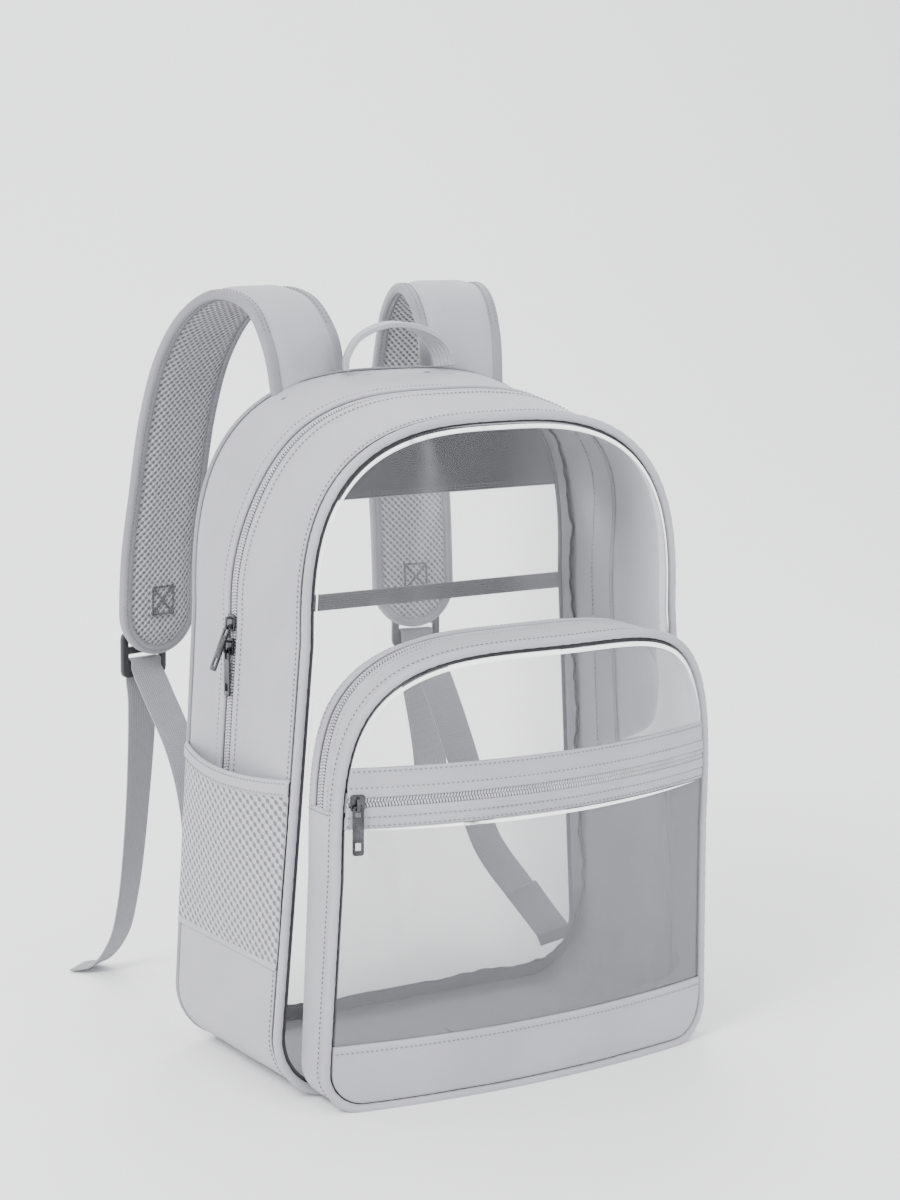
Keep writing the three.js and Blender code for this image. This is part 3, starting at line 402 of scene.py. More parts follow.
# %% [markdown]
# ### Webbing, net and coil
#
# Webbing is woven in lengthwise ribs with a firm edge. The side pockets are a knitted net and the pads
# are lined with a thicker one. Two waves cross at a slant, and both are high at every hole, so every
# other row of holes is shifted by half a step. One of the two is the stronger, so the yarn between the
# holes reads as slanting ridges.

# %% Webbing and nets
def webbing(name, dark, light, rib=0.0016):
    """Ribs across the width, and the picks of the weft along the length."""
    material, shader, flat, space = new_finish(name)
    u, v, _ = parts_of(flat)
    ribs = (v * (full_turn / rib)).sin()
    picks = (u * (full_turn / 0.0011)).sin()
    fuzz = noise(space, 700.0, 2.0)
    tone = fuzz * 0.5 + ribs * 0.2 + picks * 0.08 + 0.25
    plug(shader, Base_Color=between(tone.step_between(0.1, 0.9), dark, light), Roughness=0.8,
         Sheen_Weight=0.2, Specular_IOR_Level=0.3,
         Normal=bump(ribs * 0.5 + picks * 0.25 + fuzz * 0.3, 0.0003, 0.8))
    return material


def net(name, along, across, yarn, hole, open_at, depth=0.0011):
    """Knitted net: along and across are the steps from hole to hole, open_at sets how wide they are."""
    material, shader, flat, space = new_finish(name)
    u, v, _ = parts_of(flat)
    one, other = u * (full_turn / along), v * (full_turn / across)
    waves = (one - other + quarter_turn).sin() * 0.6 - (one + other + quarter_turn).sin() * 0.4
    fuzz = noise(space, 800.0, 2.0)
    # the holes are coloured dark: painted shade of what lies behind each hole
    holes = (waves + fuzz * 0.16 - 0.08).step_between(open_at - 0.14, open_at + 0.24)
    plug(shader, Base_Color=between(holes, yarn, hole), Roughness=0.85, Sheen_Weight=0.15,
         Specular_IOR_Level=0.25, Normal=bump(waves * -0.8 + fuzz * 0.2, depth, 0.9))
    return material


strap_webbing = webbing("strap_webbing", (0.20, 0.198, 0.212), (0.30, 0.298, 0.318))
cross_webbing = webbing("cross_webbing", (0.13, 0.129, 0.136), (0.20, 0.199, 0.208))
handle_webbing = webbing("handle_webbing", (0.31, 0.308, 0.33), (0.44, 0.438, 0.465), rib=0.0026)
pocket_net = net("pocket_net", 0.0074, 0.0066, (0.45, 0.445, 0.47), (0.16, 0.159, 0.167), open_at=0.14)
pad_net = net("pad_net", 0.0050, 0.0048, (0.42, 0.415, 0.435), (0.13, 0.129, 0.136), open_at=0.12,
              depth=0.0013)

# %% [markdown]
# ### Coil, metal and moulded plastic
#
# Hard parts are even, but handling leaves them a little lighter in some places than in others, and a
# very fine grain keeps their shine from looking like a mirror.

# %% Hard finishes
def hard(name, dark, light, metallic, rough):
    """Metal or plastic, lighter where it is worn, with a very fine grain."""
    material, shader, _, space = new_finish(name)
    wear = noise(space, 60.0, 5.0)
    fine = noise(space, 500.0, 3.0)
    plug(shader, Base_Color=between(wear.step_between(0.3, 0.75), dark, light), Metallic=metallic,
         Roughness=fine * 0.18 + (rough - 0.09), Normal=bump(fine, 0.00003, 0.5))
    return material


coil = hard("coil", (0.44, 0.435, 0.46), (0.52, 0.515, 0.54), 0.0, 0.4)
gunmetal = hard("gunmetal", (0.04, 0.04, 0.042), (0.10, 0.10, 0.104), 1.0, 0.27)
black_plastic = hard("black_plastic", (0.012, 0.012, 0.013), (0.022, 0.022, 0.024), 0.0, 0.42)
for finish in (cloth, zipper_tape_painted_shade, tape, clear, strap_webbing, pocket_net, pad_net, coil, gunmetal, black_plastic):
    print("finish", finish.name)

# %% [markdown]
# ## Outlines
#
# The bag, seen from the front, is a flat base, round corners, sides that lean in a little, and an arch.
# The arch is a superellipse, which is fuller at its shoulders than an ellipse. The front outline is a
# little lower than the back one, so the top slopes. Points are spaced evenly along each stretch, about
# three millimetres apart.

# %% Outlines of the bag and its front pocket
base_steps, side_steps = 64, 170
point_step = 3.0
front_high = 421.0
pocket_half, pocket_high, pocket_depth, pocket_lean = 145.0, 291.0, 33.0, 0.02
depth, seam, back_seam = 135.0, 3.3, 1.9
front_y, back_y = -depth / 2, depth / 2
sides = (("left", -1), ("right", 1))


def half_outline(low, high, height, arch_start, corner, power):
    """From the bottom middle up the right side to the top middle, as x and z. The half width is low at
    the foot and high where the arch starts."""
    a = np.linspace(0, np.pi / 2, 90)
    flat = np.stack([np.linspace(0, low - corner, 30), np.zeros(30)], -1)
    bend = np.stack([low - corner + corner * np.sin(a), corner - corner * np.cos(a)], -1)
    z = np.linspace(corner, arch_start, 40)
    side = np.stack([np.interp(z, [corner, arch_start], [low, high]), z], -1)
    t = np.linspace(0, np.pi / 2, 3000)
    arch = np.stack([high * np.abs(np.cos(t)) ** (2 / power),
                     arch_start + (height - arch_start) * np.sin(t) ** (2 / power)], -1)
    lower = even_points(np.concatenate([flat, bend[1:]]), base_steps)
    upper = even_points(np.concatenate([side, arch[1:]]), side_steps)
    return np.concatenate([lower, upper[1:]])


def closed_ring(half):
    """The half outline and its mirror image, in one ring that starts at the bottom middle."""
    return np.concatenate([half, half[-2:0:-1] * [-1, 1]])


def outward(ring):
    """Unit normals of a ring in its plane."""
    step = np.roll(ring, -1, 0) - np.roll(ring, 1, 0)
    return unit(np.stack([step[:, 1], -step[:, 0]], -1))


def inside(ring, by):
    """The ring, moved inwards."""
    return ring - outward(ring) * by


def half_width(ring, z):
    """Half width of a ring at the heights z."""
    side = ring[: len(ring) // 2 + 1]
    side = side[np.r_[True, np.diff(side[:, 1]) > 1e-6]]
    return np.interp(z, side[:, 1], side[:, 0])


front_ring = closed_ring(half_outline(
    low=160.0, high=139.5, height=front_high, arch_start=288, corner=42.0, power=2.87))
back_ring = closed_ring(half_outline(
    low=160.0, high=145.5, height=440.0, arch_start=294, corner=42.0, power=2.87))
pocket_ring = closed_ring(half_outline(
    low=pocket_half, high=140, height=pocket_high, arch_start=149, corner=26.5, power=3.58))
front_out, back_out, pocket_out = outward(front_ring), outward(back_ring), outward(pocket_ring)
ring_count = len(front_ring)
whole_ring = np.r_[np.arange(ring_count), 0]
print("points round the bag", ring_count)

# %% [markdown]
# ## Main gusset
#
# The gusset is the cloth wall between front and back. Above the side pockets the main zipper cuts it
# into two arched bands, whose edges at the zipper are folded under and stitched. Cloth held between
# two seams isn't flat: it draws in at the seams and stands proud a little between them.

# %% Surfaces of the gusset
def on_gusset(index, share, lift):
    """Points on the main gusset: share is 0 at the front seam and 1 at the back, lift is outwards."""
    f = np.broadcast_to(share, (len(index), np.shape(share)[-1]))
    ring = (1 - f)[..., None] * front_ring[index][:, None] + f[..., None] * back_ring[index][:, None]
    normal = (1 - f)[..., None] * front_out[index][:, None] + f[..., None] * back_out[index][:, None]
    ring = ring + normal * np.broadcast_to(lift, f.shape)[..., None]
    return np.stack([ring[..., 0], front_y + depth * f, ring[..., 1]], -1)


def zipper_mm(z):
    """Distance of the main zipper from the front seam: it lies near the middle over the arch and swings
    15 mm backwards down the sides."""
    return depth / 2 + 1 + 15 * smooth_step((395 - z) / 95)


split = int(np.argmax(front_ring[: ring_count // 2, 1] > 150))
arch = np.arange(split, ring_count - split + 1)
cradle = np.arange(ring_count - split, ring_count + split + 1) % ring_count
along_arch = np.arange(len(arch))[:, None] * point_step
slot_half = 5.2
slot_mm = zipper_mm(0.45 * front_ring[arch, 1] + 0.55 * back_ring[arch, 1])[:, None]


def hemmed(edge_distance):
    """Height of a folded hem: 5 mm of doubled cloth whose very edge rolls under."""
    fold = 0.75 * (1 - smooth_step((edge_distance - 5.0) / 1.6))
    return fold - 0.9 * np.clip(1 - edge_distance / 0.9, 0, 1) ** 2


def drawn_in(seam_distance, along):
    """Cloth next to a seam: drawn in, and gathered a little by the stitches."""
    return -1.5 * np.exp(-seam_distance / 1.8) + 0.16 * np.sin(along * 0.9) * np.exp(-seam_distance / 5)


def gusset_band(name, from_mm, to_mm, hem_at_end, nodes):
    """An arched band between two distances from the front seam, hemmed at one edge and sewn at the other."""
    t = np.linspace(0, 1, 36)
    t = 1 - (1 - t) ** 1.8 if hem_at_end else t ** 1.8
    mm = from_mm + (to_mm - from_mm) * t[None]
    hem = (to_mm - mm) if hem_at_end else (mm - from_mm)
    sewn = (mm - from_mm) if hem_at_end else (to_mm - mm)
    lift = hemmed(hem) + drawn_in(sewn, along_arch) \
        + 0.8 * ripple(along_arch, mm, 95, 1 + hem_at_end) * np.sin(np.pi * t) ** 0.7
    return cloth_piece(name, on_gusset(arch, mm / depth, lift - 0.2),
                       on_gusset(arch, mm / depth, lift - 1.5), cloth, nodes)


gusset_band("main_band_front", seam, slot_mm - slot_half, True, ["main_gusset_front_band"])
gusset_band("main_band_back", slot_mm + slot_half, depth - back_seam, False, ["main_gusset_back_band"])
mm = np.linspace(seam, depth - back_seam, 44)[None]
along_cradle = np.arange(len(cradle))[:, None] * point_step
sag = drawn_in(mm - seam, along_cradle) + drawn_in(depth - mm, along_cradle) \
    + 0.7 * ripple(along_cradle, mm, 110, 4) * np.sin(np.pi * (mm - seam) / (depth - seam)) ** 0.7
cloth_piece("main_cradle", on_gusset(cradle, mm / depth, sag - 0.25),
            on_gusset(cradle, mm / depth, sag - 1.5), cloth, ["main_gusset_lower"])

# %% [markdown]
# ## Zippers
#
# A coil zipper is two tapes with a row of small loops each, which mesh in the middle. What shows in
# the slot is two rows of short beads that lie across it, offset by half a step. All beads of a zipper
# are one mesh, each of only fourteen faces, and so are all stitches of a seam: a stitch is the same
# bead laid along the seam instead of across it.

# %% Beads for coils and stitches
def beads(name, centres, axis, outwards, half_length, half_breadth, half_height, material):
    """Many small beads: rings of four points, narrow at both ends, at each centre."""
    side = unit(np.cross(axis, outwards))
    reach = np.array([-1, -0.62, 0.62, 1]) * half_length
    swell = np.array([0.35, 1, 1, 0.35])
    angle = np.pi / 4 + np.arange(4) * np.pi / 2
    points = centres[:, None, None] + axis[:, None, None] * reach[None, :, None, None] \
        + side[:, None, None] * (half_breadth * swell[:, None] * np.cos(angle) * 1.3)[None, ..., None] \
        + outwards[:, None, None] * (half_height * swell[:, None] * np.sin(angle) * 1.3)[None, ..., None]
    ring, corner = np.meshgrid(np.arange(3), np.arange(4), indexing="ij")
    after = (corner + 1) % 4
    one = np.stack([ring * 4 + corner, (ring + 1) * 4 + corner, (ring + 1) * 4 + after,
                    ring * 4 + after], -1).reshape(-1, 4)
    one = np.concatenate([one, [[0, 1, 2, 3], [15, 14, 13, 12]]])
    faces = (np.arange(len(centres))[:, None, None] * 16 + one[None]).reshape(-1, 4)
    pattern = np.broadcast_to(np.array([[0, 0], [1, 0], [1, 1], [0, 1]]) * 0.001, (len(faces), 4, 2))
    return put_mesh(name, points.reshape(-1, 3), faces, pattern, material, ())


def along_line(line, outwards, pitch):
    """Even places on a line: centres, directions and outward directions."""
    length = np.r_[0, np.cumsum(np.linalg.norm(np.diff(line, axis=0), axis=1))]
    at = np.arange(pitch / 2, length[-1], pitch)
    pick = lambda values: np.stack([np.interp(at, length, values[:, k]) for k in range(3)], -1)
    direction = pick(np.gradient(line, axis=0))
    centre, out = pick(line), pick(outwards)
    return centre, unit(direction), unit(out)


def stitch_row(name, line, outwards, material=thread_with_hole_shade, pitch=3.2, length=1.5, width=0.32):
    """Stitches along a line: pitch from one to the next, length and half width of one."""
    centre, direction, out = along_line(line, outwards, pitch)
    return beads(name, centre + out * 0.05, direction, out, length / 2, width, width * 0.8, material)


def zipper_chain(name, line, outwards):
    """Two rows of beads across the line, one half a step after the other."""
    pitch = 2.0
    centre, direction, out = along_line(line, outwards, pitch)
    across = np.cross(direction, out)
    rows = [centre + across * 1.5, centre - across * 1.5 + direction * pitch / 2]
    lean = [across + direction * 0.25, across - direction * 0.25]
    lean = np.concatenate(lean) / np.linalg.norm(lean[0], axis=1).mean()
    return beads(name, np.concatenate(rows), lean, np.concatenate([out, out]), 1.7, 0.62, 0.8, coil)


def arch_normals(index, share):
    flat = (1 - share) * front_out[index] + share * back_out[index]
    return np.stack([flat[:, 0], np.zeros(len(index)), flat[:, 1]], -1)


def gusset_line(index, mm_from_front, lift):
    """A line on the gusset, and its outward directions."""
    share = np.broadcast_to(mm_from_front, (len(index), 1)) / depth
    return on_gusset(index, share, lift)[:, 0], arch_normals(index, share)


# the zipper tapes are darker grey: painted shade under the hems
tape_mm = slot_mm + np.linspace(-13, 13, 9)[None]
cloth_piece("main_zipper_tape", on_gusset(arch, tape_mm / depth, -1.9),
            on_gusset(arch, tape_mm / depth, -2.6), zipper_tape_painted_shade, ["main_zipper"])
zipper_chain("main_zipper_coil", *gusset_line(arch, slot_mm, -0.95))
for label, offset in (("front", -slot_half - 6), ("back", slot_half + 6)):
    stitch_row(f"main_zipper_stitch_{label}", *gusset_line(arch, slot_mm + offset, 0.3))
    line, out = gusset_line(arch, slot_mm + offset, -3.0)
    stitch_row(f"main_zipper_stitch_inside_{label}", line, -out)
stitch_row("front_seam_stitch", *gusset_line(whole_ring, 8.0, 0.15))
# a dark line between the gusset and the piping's root: a painted crease shadow
seam_mm = np.linspace(4.9, 5.8, 3)[None]
cloth_piece("front_seam_crease_shadow", on_gusset(whole_ring, seam_mm / depth, -0.4),
            on_gusset(whole_ring, seam_mm / depth, -1.2), dark_thread_and_shade)

# %% [markdown]
# ## Piping
#
# The seam between gusset and front is covered by a piping: a cord wrapped in cloth, sewn in along its
# root. It is a round roll carried along the outline.

# %% Piping round the front
def piping_roll(name, ring, y, nodes):
    """A roll whose outer side stands proud of the ring, at the depths y."""
    radius, proud = 2.8, 1.3
    normal = outward(ring)
    centre = ring - normal * (radius - proud)
    angle = np.linspace(0, 2 * np.pi, 19)[:-1]
    step = np.arange(len(ring))[:, None] * point_step
    r = radius + 0.10 * np.sin(step * 0.55 + 2 * angle) + 0.06 * np.sin(step * 1.3 - angle)
    across = centre[:, None] + normal[:, None] * (r * np.cos(angle))[..., None]
    sections = np.stack([across[..., 0], np.broadcast_to(y, len(ring))[:, None] + r * np.sin(angle),
                         across[..., 1]], -1)
    return rolled_piece(name, sections, cloth, nodes, wrap=True)


piping_roll("front_piping_roll", front_ring, front_y, ["front_piping"])

# %% [markdown]
# ## Clear front
#
# The clear sheet fills the outline from its seam inwards. A polar grid suits it: each spoke runs from
# the middle to a point of the rim, with more steps near the rim, where the sheet rolls back into the
# seam. The white line of light on that roll along the arch is a painted highlight strip, laid on below.

# %% Clear front
def main_front_y(x, z):
    """Depth of the crowned front at a place on it."""
    across = np.minimum(1, np.abs(x) / half_width(inside(front_ring, 5.3), z))
    rise = np.minimum(1, np.abs(2 * z / front_high - 1))
    return front_y - 14 * (1 - across ** 3) * (1 - rise ** 4)


spokes = np.r_[np.linspace(0, 0.8, 16)[:-1], 1 - 0.2 * np.linspace(1, 0, 20) ** 1.5]


def fan_sheet(name, rim, depth_at, nodes):
    """A sheet that fills a rim, made of spokes from its middle, closed at the middle."""
    middle = np.array([0.0, rim[:, 1].mean()])
    flat = middle + (rim - middle)[:, None] * spokes[None, :, None]
    to_rim = (1 - spokes) * np.linalg.norm(rim - middle, axis=1)[:, None]
    y = depth_at(flat[..., 0], flat[..., 1], to_rim)
    front = np.stack([flat[..., 0], y, flat[..., 1]], -1)
    back = front + [0, 0.8, 0]
    rows, cols = y.shape
    faces, uv_faces = face_corners(rows, cols, True)
    uv = np.concatenate([flat, flat[:1]]).reshape(-1, 2) / 1000
    faces = np.where(faces % cols == 0, 0, faces)
    count = rows * cols
    a = np.arange(rows) * cols + cols - 1
    b = np.roll(a, -1)
    rim_faces = np.stack([b, b + count, a + count, a], -1)
    all_faces = np.concatenate([faces, faces[:, ::-1] + count, rim_faces])
    patterns = np.concatenate([uv[uv_faces], uv[uv_faces][:, ::-1], uv[np.stack([b, b, a, a], -1)]])
    points = np.concatenate([front.reshape(-1, 3), back.reshape(-1, 3)])
    triangles, corners = as_triangles_where_flat(all_faces, patterns)
    return put_mesh(name, points, triangles, corners, clear, nodes)


def front_depth(x, z, to_rim):
    stand = 2.4 * (1 - np.exp(-to_rim / 3.5)) + 1.1 * ripple(x, z, 150, 2) * (1 - np.exp(-to_rim / 30))
    return main_front_y(x, z) - stand


fan_sheet("clear_front", inside(front_ring, 5.2), front_depth, ["front_panel"])


def glint_strip(name, ring, y, low):
    """A thin painted highlight along the rolled edge of a sheet, above a height, widest where it faces up."""
    keep = ring[:, 1] > low
    edge, out = ring[keep], outward(ring)[keep]
    y = np.broadcast_to(y, len(ring))[keep]
    half = (0.5 + 0.9 * np.clip(out[:, 1:], 0, 1) ** 1.3) * smooth_step((edge[:, 1:] - low) / 40)
    reach = half * np.linspace(-1, 1, 7)
    flat = edge[:, None] - out[:, None] * (6.6 + half + reach)[..., None]
    outer = np.stack([flat[..., 0], y[:, None] - 0.25 * np.cos(reach), flat[..., 1]], -1)
    return cloth_piece(name, outer, outer + [0, 0.15, 0], glint_line)


glint_strip("front_glint", front_ring, front_y - 2.6, 170.0)

# %% [markdown]
# ## Back
#
# The back is a clear sheet too, bound with a cloth tape round its edge. A cloth yoke crosses the top,
# where the straps and the handle are sewn on, and a strip of webbing crosses below it; inside the yoke a
# near-black sheet is painted shade. Inside, a darker tape covers the raw edge of the seam; it shows through
# the clear front. Towards the foot the tape is painted nearly black as shade, and the near-black cord along
# its free edge and the dark strip behind the front sheet's rim are painted shadow lines.

# %% Back sheet, binding, yoke and strip
def back_depth(x, z, to_rim):
    return back_y - 1.8 + 0.5 * (ripple(x, z, 170, 5) - 1) * (1 - np.exp(-to_rim / 40))


fan_sheet("clear_back", inside(back_ring, 0.6), back_depth, ["back_panel"])


def ring_band(name, ring, insets, depths, material, nodes, thickness):
    """A flat tape along a ring: its columns are at the given insets and depths."""
    columns = [inside(ring, by) for by in insets]
    outer = np.stack([np.stack([column[:, 0], np.full(len(ring), y), column[:, 1]], -1)
                      for column, y in zip(columns, depths)], 1)
    return cloth_piece(name, outer, outer + [0, thickness, 0], material, nodes, wrap=True)


ring_band("back_binding_tape", back_ring, [1.0, 0.0, -0.2, 0.0, 0.5, 1.4, 2.4, 3.6, 4.6, 5.0],
          [back_y + v for v in (-2.6, -2.2, -0.8, 0.3, 0.9, 1.4, 1.6, 1.5, 1.2, 0.5)], edge_tape,
          ["back_binding"], -1.0)
sewn_ring = inside(back_ring, 3.4)
line = np.stack([sewn_ring[:, 0], np.full(ring_count, back_y + 1.7), sewn_ring[:, 1]], -1)
stitch_row("back_binding_stitch", line, np.broadcast_to([0.0, 1.0, 0.0], line.shape))


def seam_tape(name, ring, y0, material):
    """The tape that covers a raw seam inside. It lies on the gusset at the sides; along the foot, where
    nothing holds it, it stands up. Its free edge is rolled over a cord and wavers; the cord is near black, a
    painted shadow line under that edge."""
    t = np.linspace(0, 1, 14)
    count = len(ring)
    step = np.arange(count)[:, None] * point_step
    calm = smooth_step(np.minimum(np.arange(count), count - np.arange(count)) / 25)[:, None]
    stand = smooth_step((72 - ring[:, 1:]) / 60)
    wave = calm * (ripple(step, step * 0.4, 70, 4) + 0.5 * ripple(step, step * 0.5, 19, 2))
    curl = 2.2 + (1.6 + 9.5 * stand) * t + 1.8 * np.sin(np.pi * t) + (0.5 + 1.3 * t ** 2) * wave * t
    y = y0 - (14 - 6 * stand) * t + 0.8 * t * wave
    normal = outward(ring)[:, None]

    def lifted(lift):
        flat = ring[:, None] - normal * (curl + lift)[..., None]
        return np.concatenate([flat[..., :1], y[..., None], flat[..., 1:]], -1)

    cloth_piece(name, lifted(0.0), lifted(0.9), material, wrap=True)
    # the cord: a near-black roll, a painted shadow line under the tape's free edge
    angle = np.linspace(0, 2 * np.pi, 9)[:-1]
    middle = lifted(0.6)[:, -1][:, None]
    out = np.stack([normal[:, 0, 0], np.zeros(count), normal[:, 0, 1]], -1)[:, None]
    cord = middle + out * (0.9 * np.cos(angle))[None, :, None] \
        + np.array([0, 1.0, 0]) * (0.9 * np.sin(angle))[None, :, None]
    rolled_piece(f"{name}_cord", cord, seam_shadow, wrap=True)


# the back seam tape, painted nearly black towards the foot as shade
seam_tape("seam_tape_back", back_ring, back_y - 1.8, seam_fold)
# a near-black strip just behind the front sheet's rim: a painted shadow line in the gap between piping and
# sheet
ring_band("front_rim_shadow", front_ring, [3.4, 5.4, 6.3, 6.6], [front_y + v for v in (1.0, -0.4, -1.0, -0.7)],
          seam_shadow, [], 0.6)


def capped_sheet(name, rim, low, depth_at, material, nodes, thickness, below=False):
    """A sheet between a level line and the rim above it, or below it: one column for each rim point."""
    chosen = np.roll(rim, len(rim) // 2, axis=0) if below else rim
    keep = chosen[:, 1] < low if below else chosen[:, 1] > low
    edge = chosen[keep]
    width = half_width(rim, low)
    ends = np.array([[-width, low], [width, low]]) if below else np.array([[width, low], [-width, low]])
    edge = np.concatenate([ends[:1], edge, ends[1:]])
    t = np.linspace(0, 1, 26)
    z = low + (edge[:, 1:] - low) * t
    x = np.broadcast_to(edge[:, :1], z.shape)
    to_rim, to_line = np.abs(edge[:, 1:] - z), np.abs(z - low)
    y = depth_at(x, z, to_rim, to_line)
    # the columns at the two ends of the line have no height, so they are left out
    outer = np.stack([x, y, z], -1)[1:-1]
    return cloth_piece(name, outer, outer + [0, thickness, 0], material, nodes)


trim_rim = inside(back_ring, 4.4)
capped_sheet("yoke", trim_rim, 353,
             lambda x, z, to_rim, to_line: (back_y + 1.5 - 0.6 * np.exp(-to_line / 2)
                                            + 0.3 * ripple(x, z, 60, 3)),
             cloth, ["back_yoke"], -1.3)
# a near-black sheet just inside the yoke: painted shade where the yoke is seen from inside the bag
capped_sheet("yoke_shade_sheet", trim_rim, 353.6,
             lambda x, z, to_rim, to_line: back_y - 0.35 + 0.25 * ripple(x, z, 45, 3),
             painted_shade_sheet, [], -0.5)


def level_strip(name, rim, low, high, depth_at, material, nodes, thickness, rows=10, cols=90):
    """A strip between two heights, as wide as the rim."""
    z = np.linspace(low, high, rows)[:, None]
    x = np.linspace(-1, 1, cols)[None] * half_width(rim, z)
    z = np.broadcast_to(z, x.shape)
    outer = np.stack([x, depth_at(x, z), z], -1).transpose(1, 0, 2)
    return cloth_piece(name, outer, outer + [0, thickness, 0], material, nodes)


level_strip("cross_strip", trim_rim, 280, 291, lambda x, z: back_y + 1.4 + 0 * x, cross_webbing,
            ["back_cross_strap"], -1.6)
for label, z, y, facing in (("cross_low", 282.0, -0.3, -1), ("cross_high", 289.0, -0.3, -1),
                            ("yoke_inside", 355.2, -0.9, -1), ("yoke_inside_high", 357.0, -0.9, -1),
                            ("yoke_outside", 355.5, 1.5, 1)):
    w = half_width(trim_rim, z)
    line = np.stack([np.linspace(-w, w, 60), np.full(60, back_y + y), np.full(60, z)], -1)
    stitch_row(f"back_stitch_{label}", line, np.broadcast_to([0.0, float(facing), 0.0], line.shape))

# %% [markdown]
# ## Front pocket
#
# The pocket is a smaller bag on the front: an arched gusset with its own zipper, a piping, and a clear
# face that bows out, crossed by a straight zipper between two cloth strips. A cloth band covers its
# foot. Every piece of its face lies on one surface, given as a depth for each place.

# %% Surfaces of the pocket
def pocket_y(x, z):
    """Depth of the pocket's bowed face at a place on it."""
    crown = 16 + 20 * z / pocket_high
    return front_y - pocket_depth - pocket_lean * z - crown * (1 - (x / pocket_half) ** 2)


def pocket_rear_y(x, z):
    """Depth of the pocket's rear edge, on the clear front or before its seam."""
    return np.minimum(main_front_y(x, z) - 0.8, front_y - seam)


def on_pocket(index, y, lift):
    """Points on the pocket's gusset at the depths y."""
    y = np.broadcast_to(y, (len(index), np.shape(y)[-1]))
    lift = np.broadcast_to(lift, y.shape)[..., None]
    ring = pocket_ring[index][:, None] + pocket_out[index][:, None] * lift
    return np.stack([ring[..., 0], y, ring[..., 1]], -1)


pocket_x, pocket_z = pocket_ring.T
rear_edge = pocket_rear_y(pocket_x, pocket_z)
face_edge = pocket_y(pocket_x, pocket_z) + seam
zip_y = rear_edge - 15
cut = int(np.argmax(pocket_z[: ring_count // 2] > 190))
pocket_arch = np.arange(cut, ring_count - cut + 1)
pocket_foot = np.arange(ring_count - cut, ring_count + cut + 1) % ring_count


def pocket_band(name, index, start, end, hem_start, hem_end, nodes):
    """Cloth between two depths, with a folded hem at either end or a seam."""
    t = np.linspace(0, 1, 30)
    t = np.where(hem_end, 1 - (1 - t) ** 1.6, np.where(hem_start, t ** 1.6, t))[None]
    y = start[index][:, None] * (1 - t) + end[index][:, None] * t
    step = np.arange(len(index))[:, None] * 2.6
    from_start, from_end = np.abs(y - start[index][:, None]), np.abs(end[index][:, None] - y)
    lift = (hemmed(from_start) if hem_start else drawn_in(from_start, step)) \
        + (hemmed(from_end) if hem_end else drawn_in(from_end, step)) \
        + 0.4 * ripple(step, y, 80, 3) * np.sin(np.pi * t)
    return cloth_piece(name, on_pocket(index, y, lift - 0.2), on_pocket(index, y, lift - 1.4), cloth, nodes)


pocket_band("pocket_band_rear", pocket_arch, rear_edge, zip_y + slot_half, False, True,
            ["pocket_gusset_rear_band"])
pocket_band("pocket_band_front", pocket_arch, zip_y - slot_half, face_edge, True, False,
            ["pocket_gusset_front_band"])
pocket_band("pocket_cradle", pocket_foot, rear_edge, face_edge, False, False, ["pocket_gusset_lower"])
pocket_tape = zip_y[pocket_arch][:, None] + np.linspace(-12, 12, 9)[None]
cloth_piece("pocket_zipper_tape", on_pocket(pocket_arch, pocket_tape, -1.9),
            on_pocket(pocket_arch, pocket_tape, -2.6), zipper_tape_painted_shade, ["pocket_zipper"])


def pocket_line(index, y, lift):
    """A line on the pocket's gusset, and its outward directions."""
    line = on_pocket(index, y[index][:, None], lift)[:, 0]
    out = np.stack([pocket_out[index][:, 0], np.zeros(len(index)), pocket_out[index][:, 1]], -1)
    return line, out


zipper_chain("pocket_zipper_coil", *pocket_line(pocket_arch, zip_y, -0.95))
for label, offset in (("rear", slot_half + 5), ("front", -slot_half - 5)):
    stitch_row(f"pocket_zipper_stitch_{label}", *pocket_line(pocket_arch, zip_y + offset, 0.3))
piping_roll("pocket_piping_roll", pocket_ring, pocket_y(pocket_x, pocket_z), ["pocket_piping"])
# a near-black strip behind the rim of the pocket's face: a painted shadow line between piping and sheet
ring_band("pocket_rim_shadow", pocket_ring, [3.4, 5.4, 6.3, 6.6],
          [pocket_y(pocket_x, pocket_z) + v for v in (1.0, 0.0, -0.4, -0.2)], seam_shadow, [], 0.6)
glint_strip("pocket_glint", pocket_ring, pocket_y(pocket_x, pocket_z) - 2.4, 221.0)
stitch_row("pocket_seam_stitch", *pocket_line(whole_ring, face_edge + 4.0, 0.1))
for label, side in sides:
    x = np.full(24, side * (half_width(pocket_ring, 188.0) + 0.1))
    y = np.linspace(-72, -97, 24)
    stitch_row(f"cross_seam_stitch_{label}", np.stack([x, y, np.full(24, 187.5)], -1),
               np.broadcast_to([float(side), 0.0, 0.0], (24, 3)))

# %% Face of the pocket
face_rim = inside(pocket_ring, 5.2)
zip_z, zip_half, upper_z, lower_z, foot_z = 197.0, 3.0, 217.0, 182.0, 43.0


def face_stand(distance, most):
    """How far a sheet stands out of the face at a distance from its sewn edge."""
    return most * (1 - np.exp(-distance / 3.5))


def window_depth(x, z, to_rim, to_line):
    return pocket_y(x, z) - np.minimum(face_stand(to_rim, 2.2), face_stand(to_line, 1.6)) \
        - 0.7 * ripple(x, z, 110, 6) * (1 - np.exp(-to_rim / 18)) * (1 - np.exp(-to_line / 14))


def lower_depth(x, z):
    side = half_width(face_rim, z) - np.abs(x)
    edge = np.minimum(np.minimum(side, z - foot_z), lower_z - z)
    return pocket_y(x, z) - face_stand(np.maximum(edge, 0), 1.8) \
        - 1.0 * ripple(x, z, 130, 8) * (1 - np.exp(-np.maximum(edge, 0) / 22))


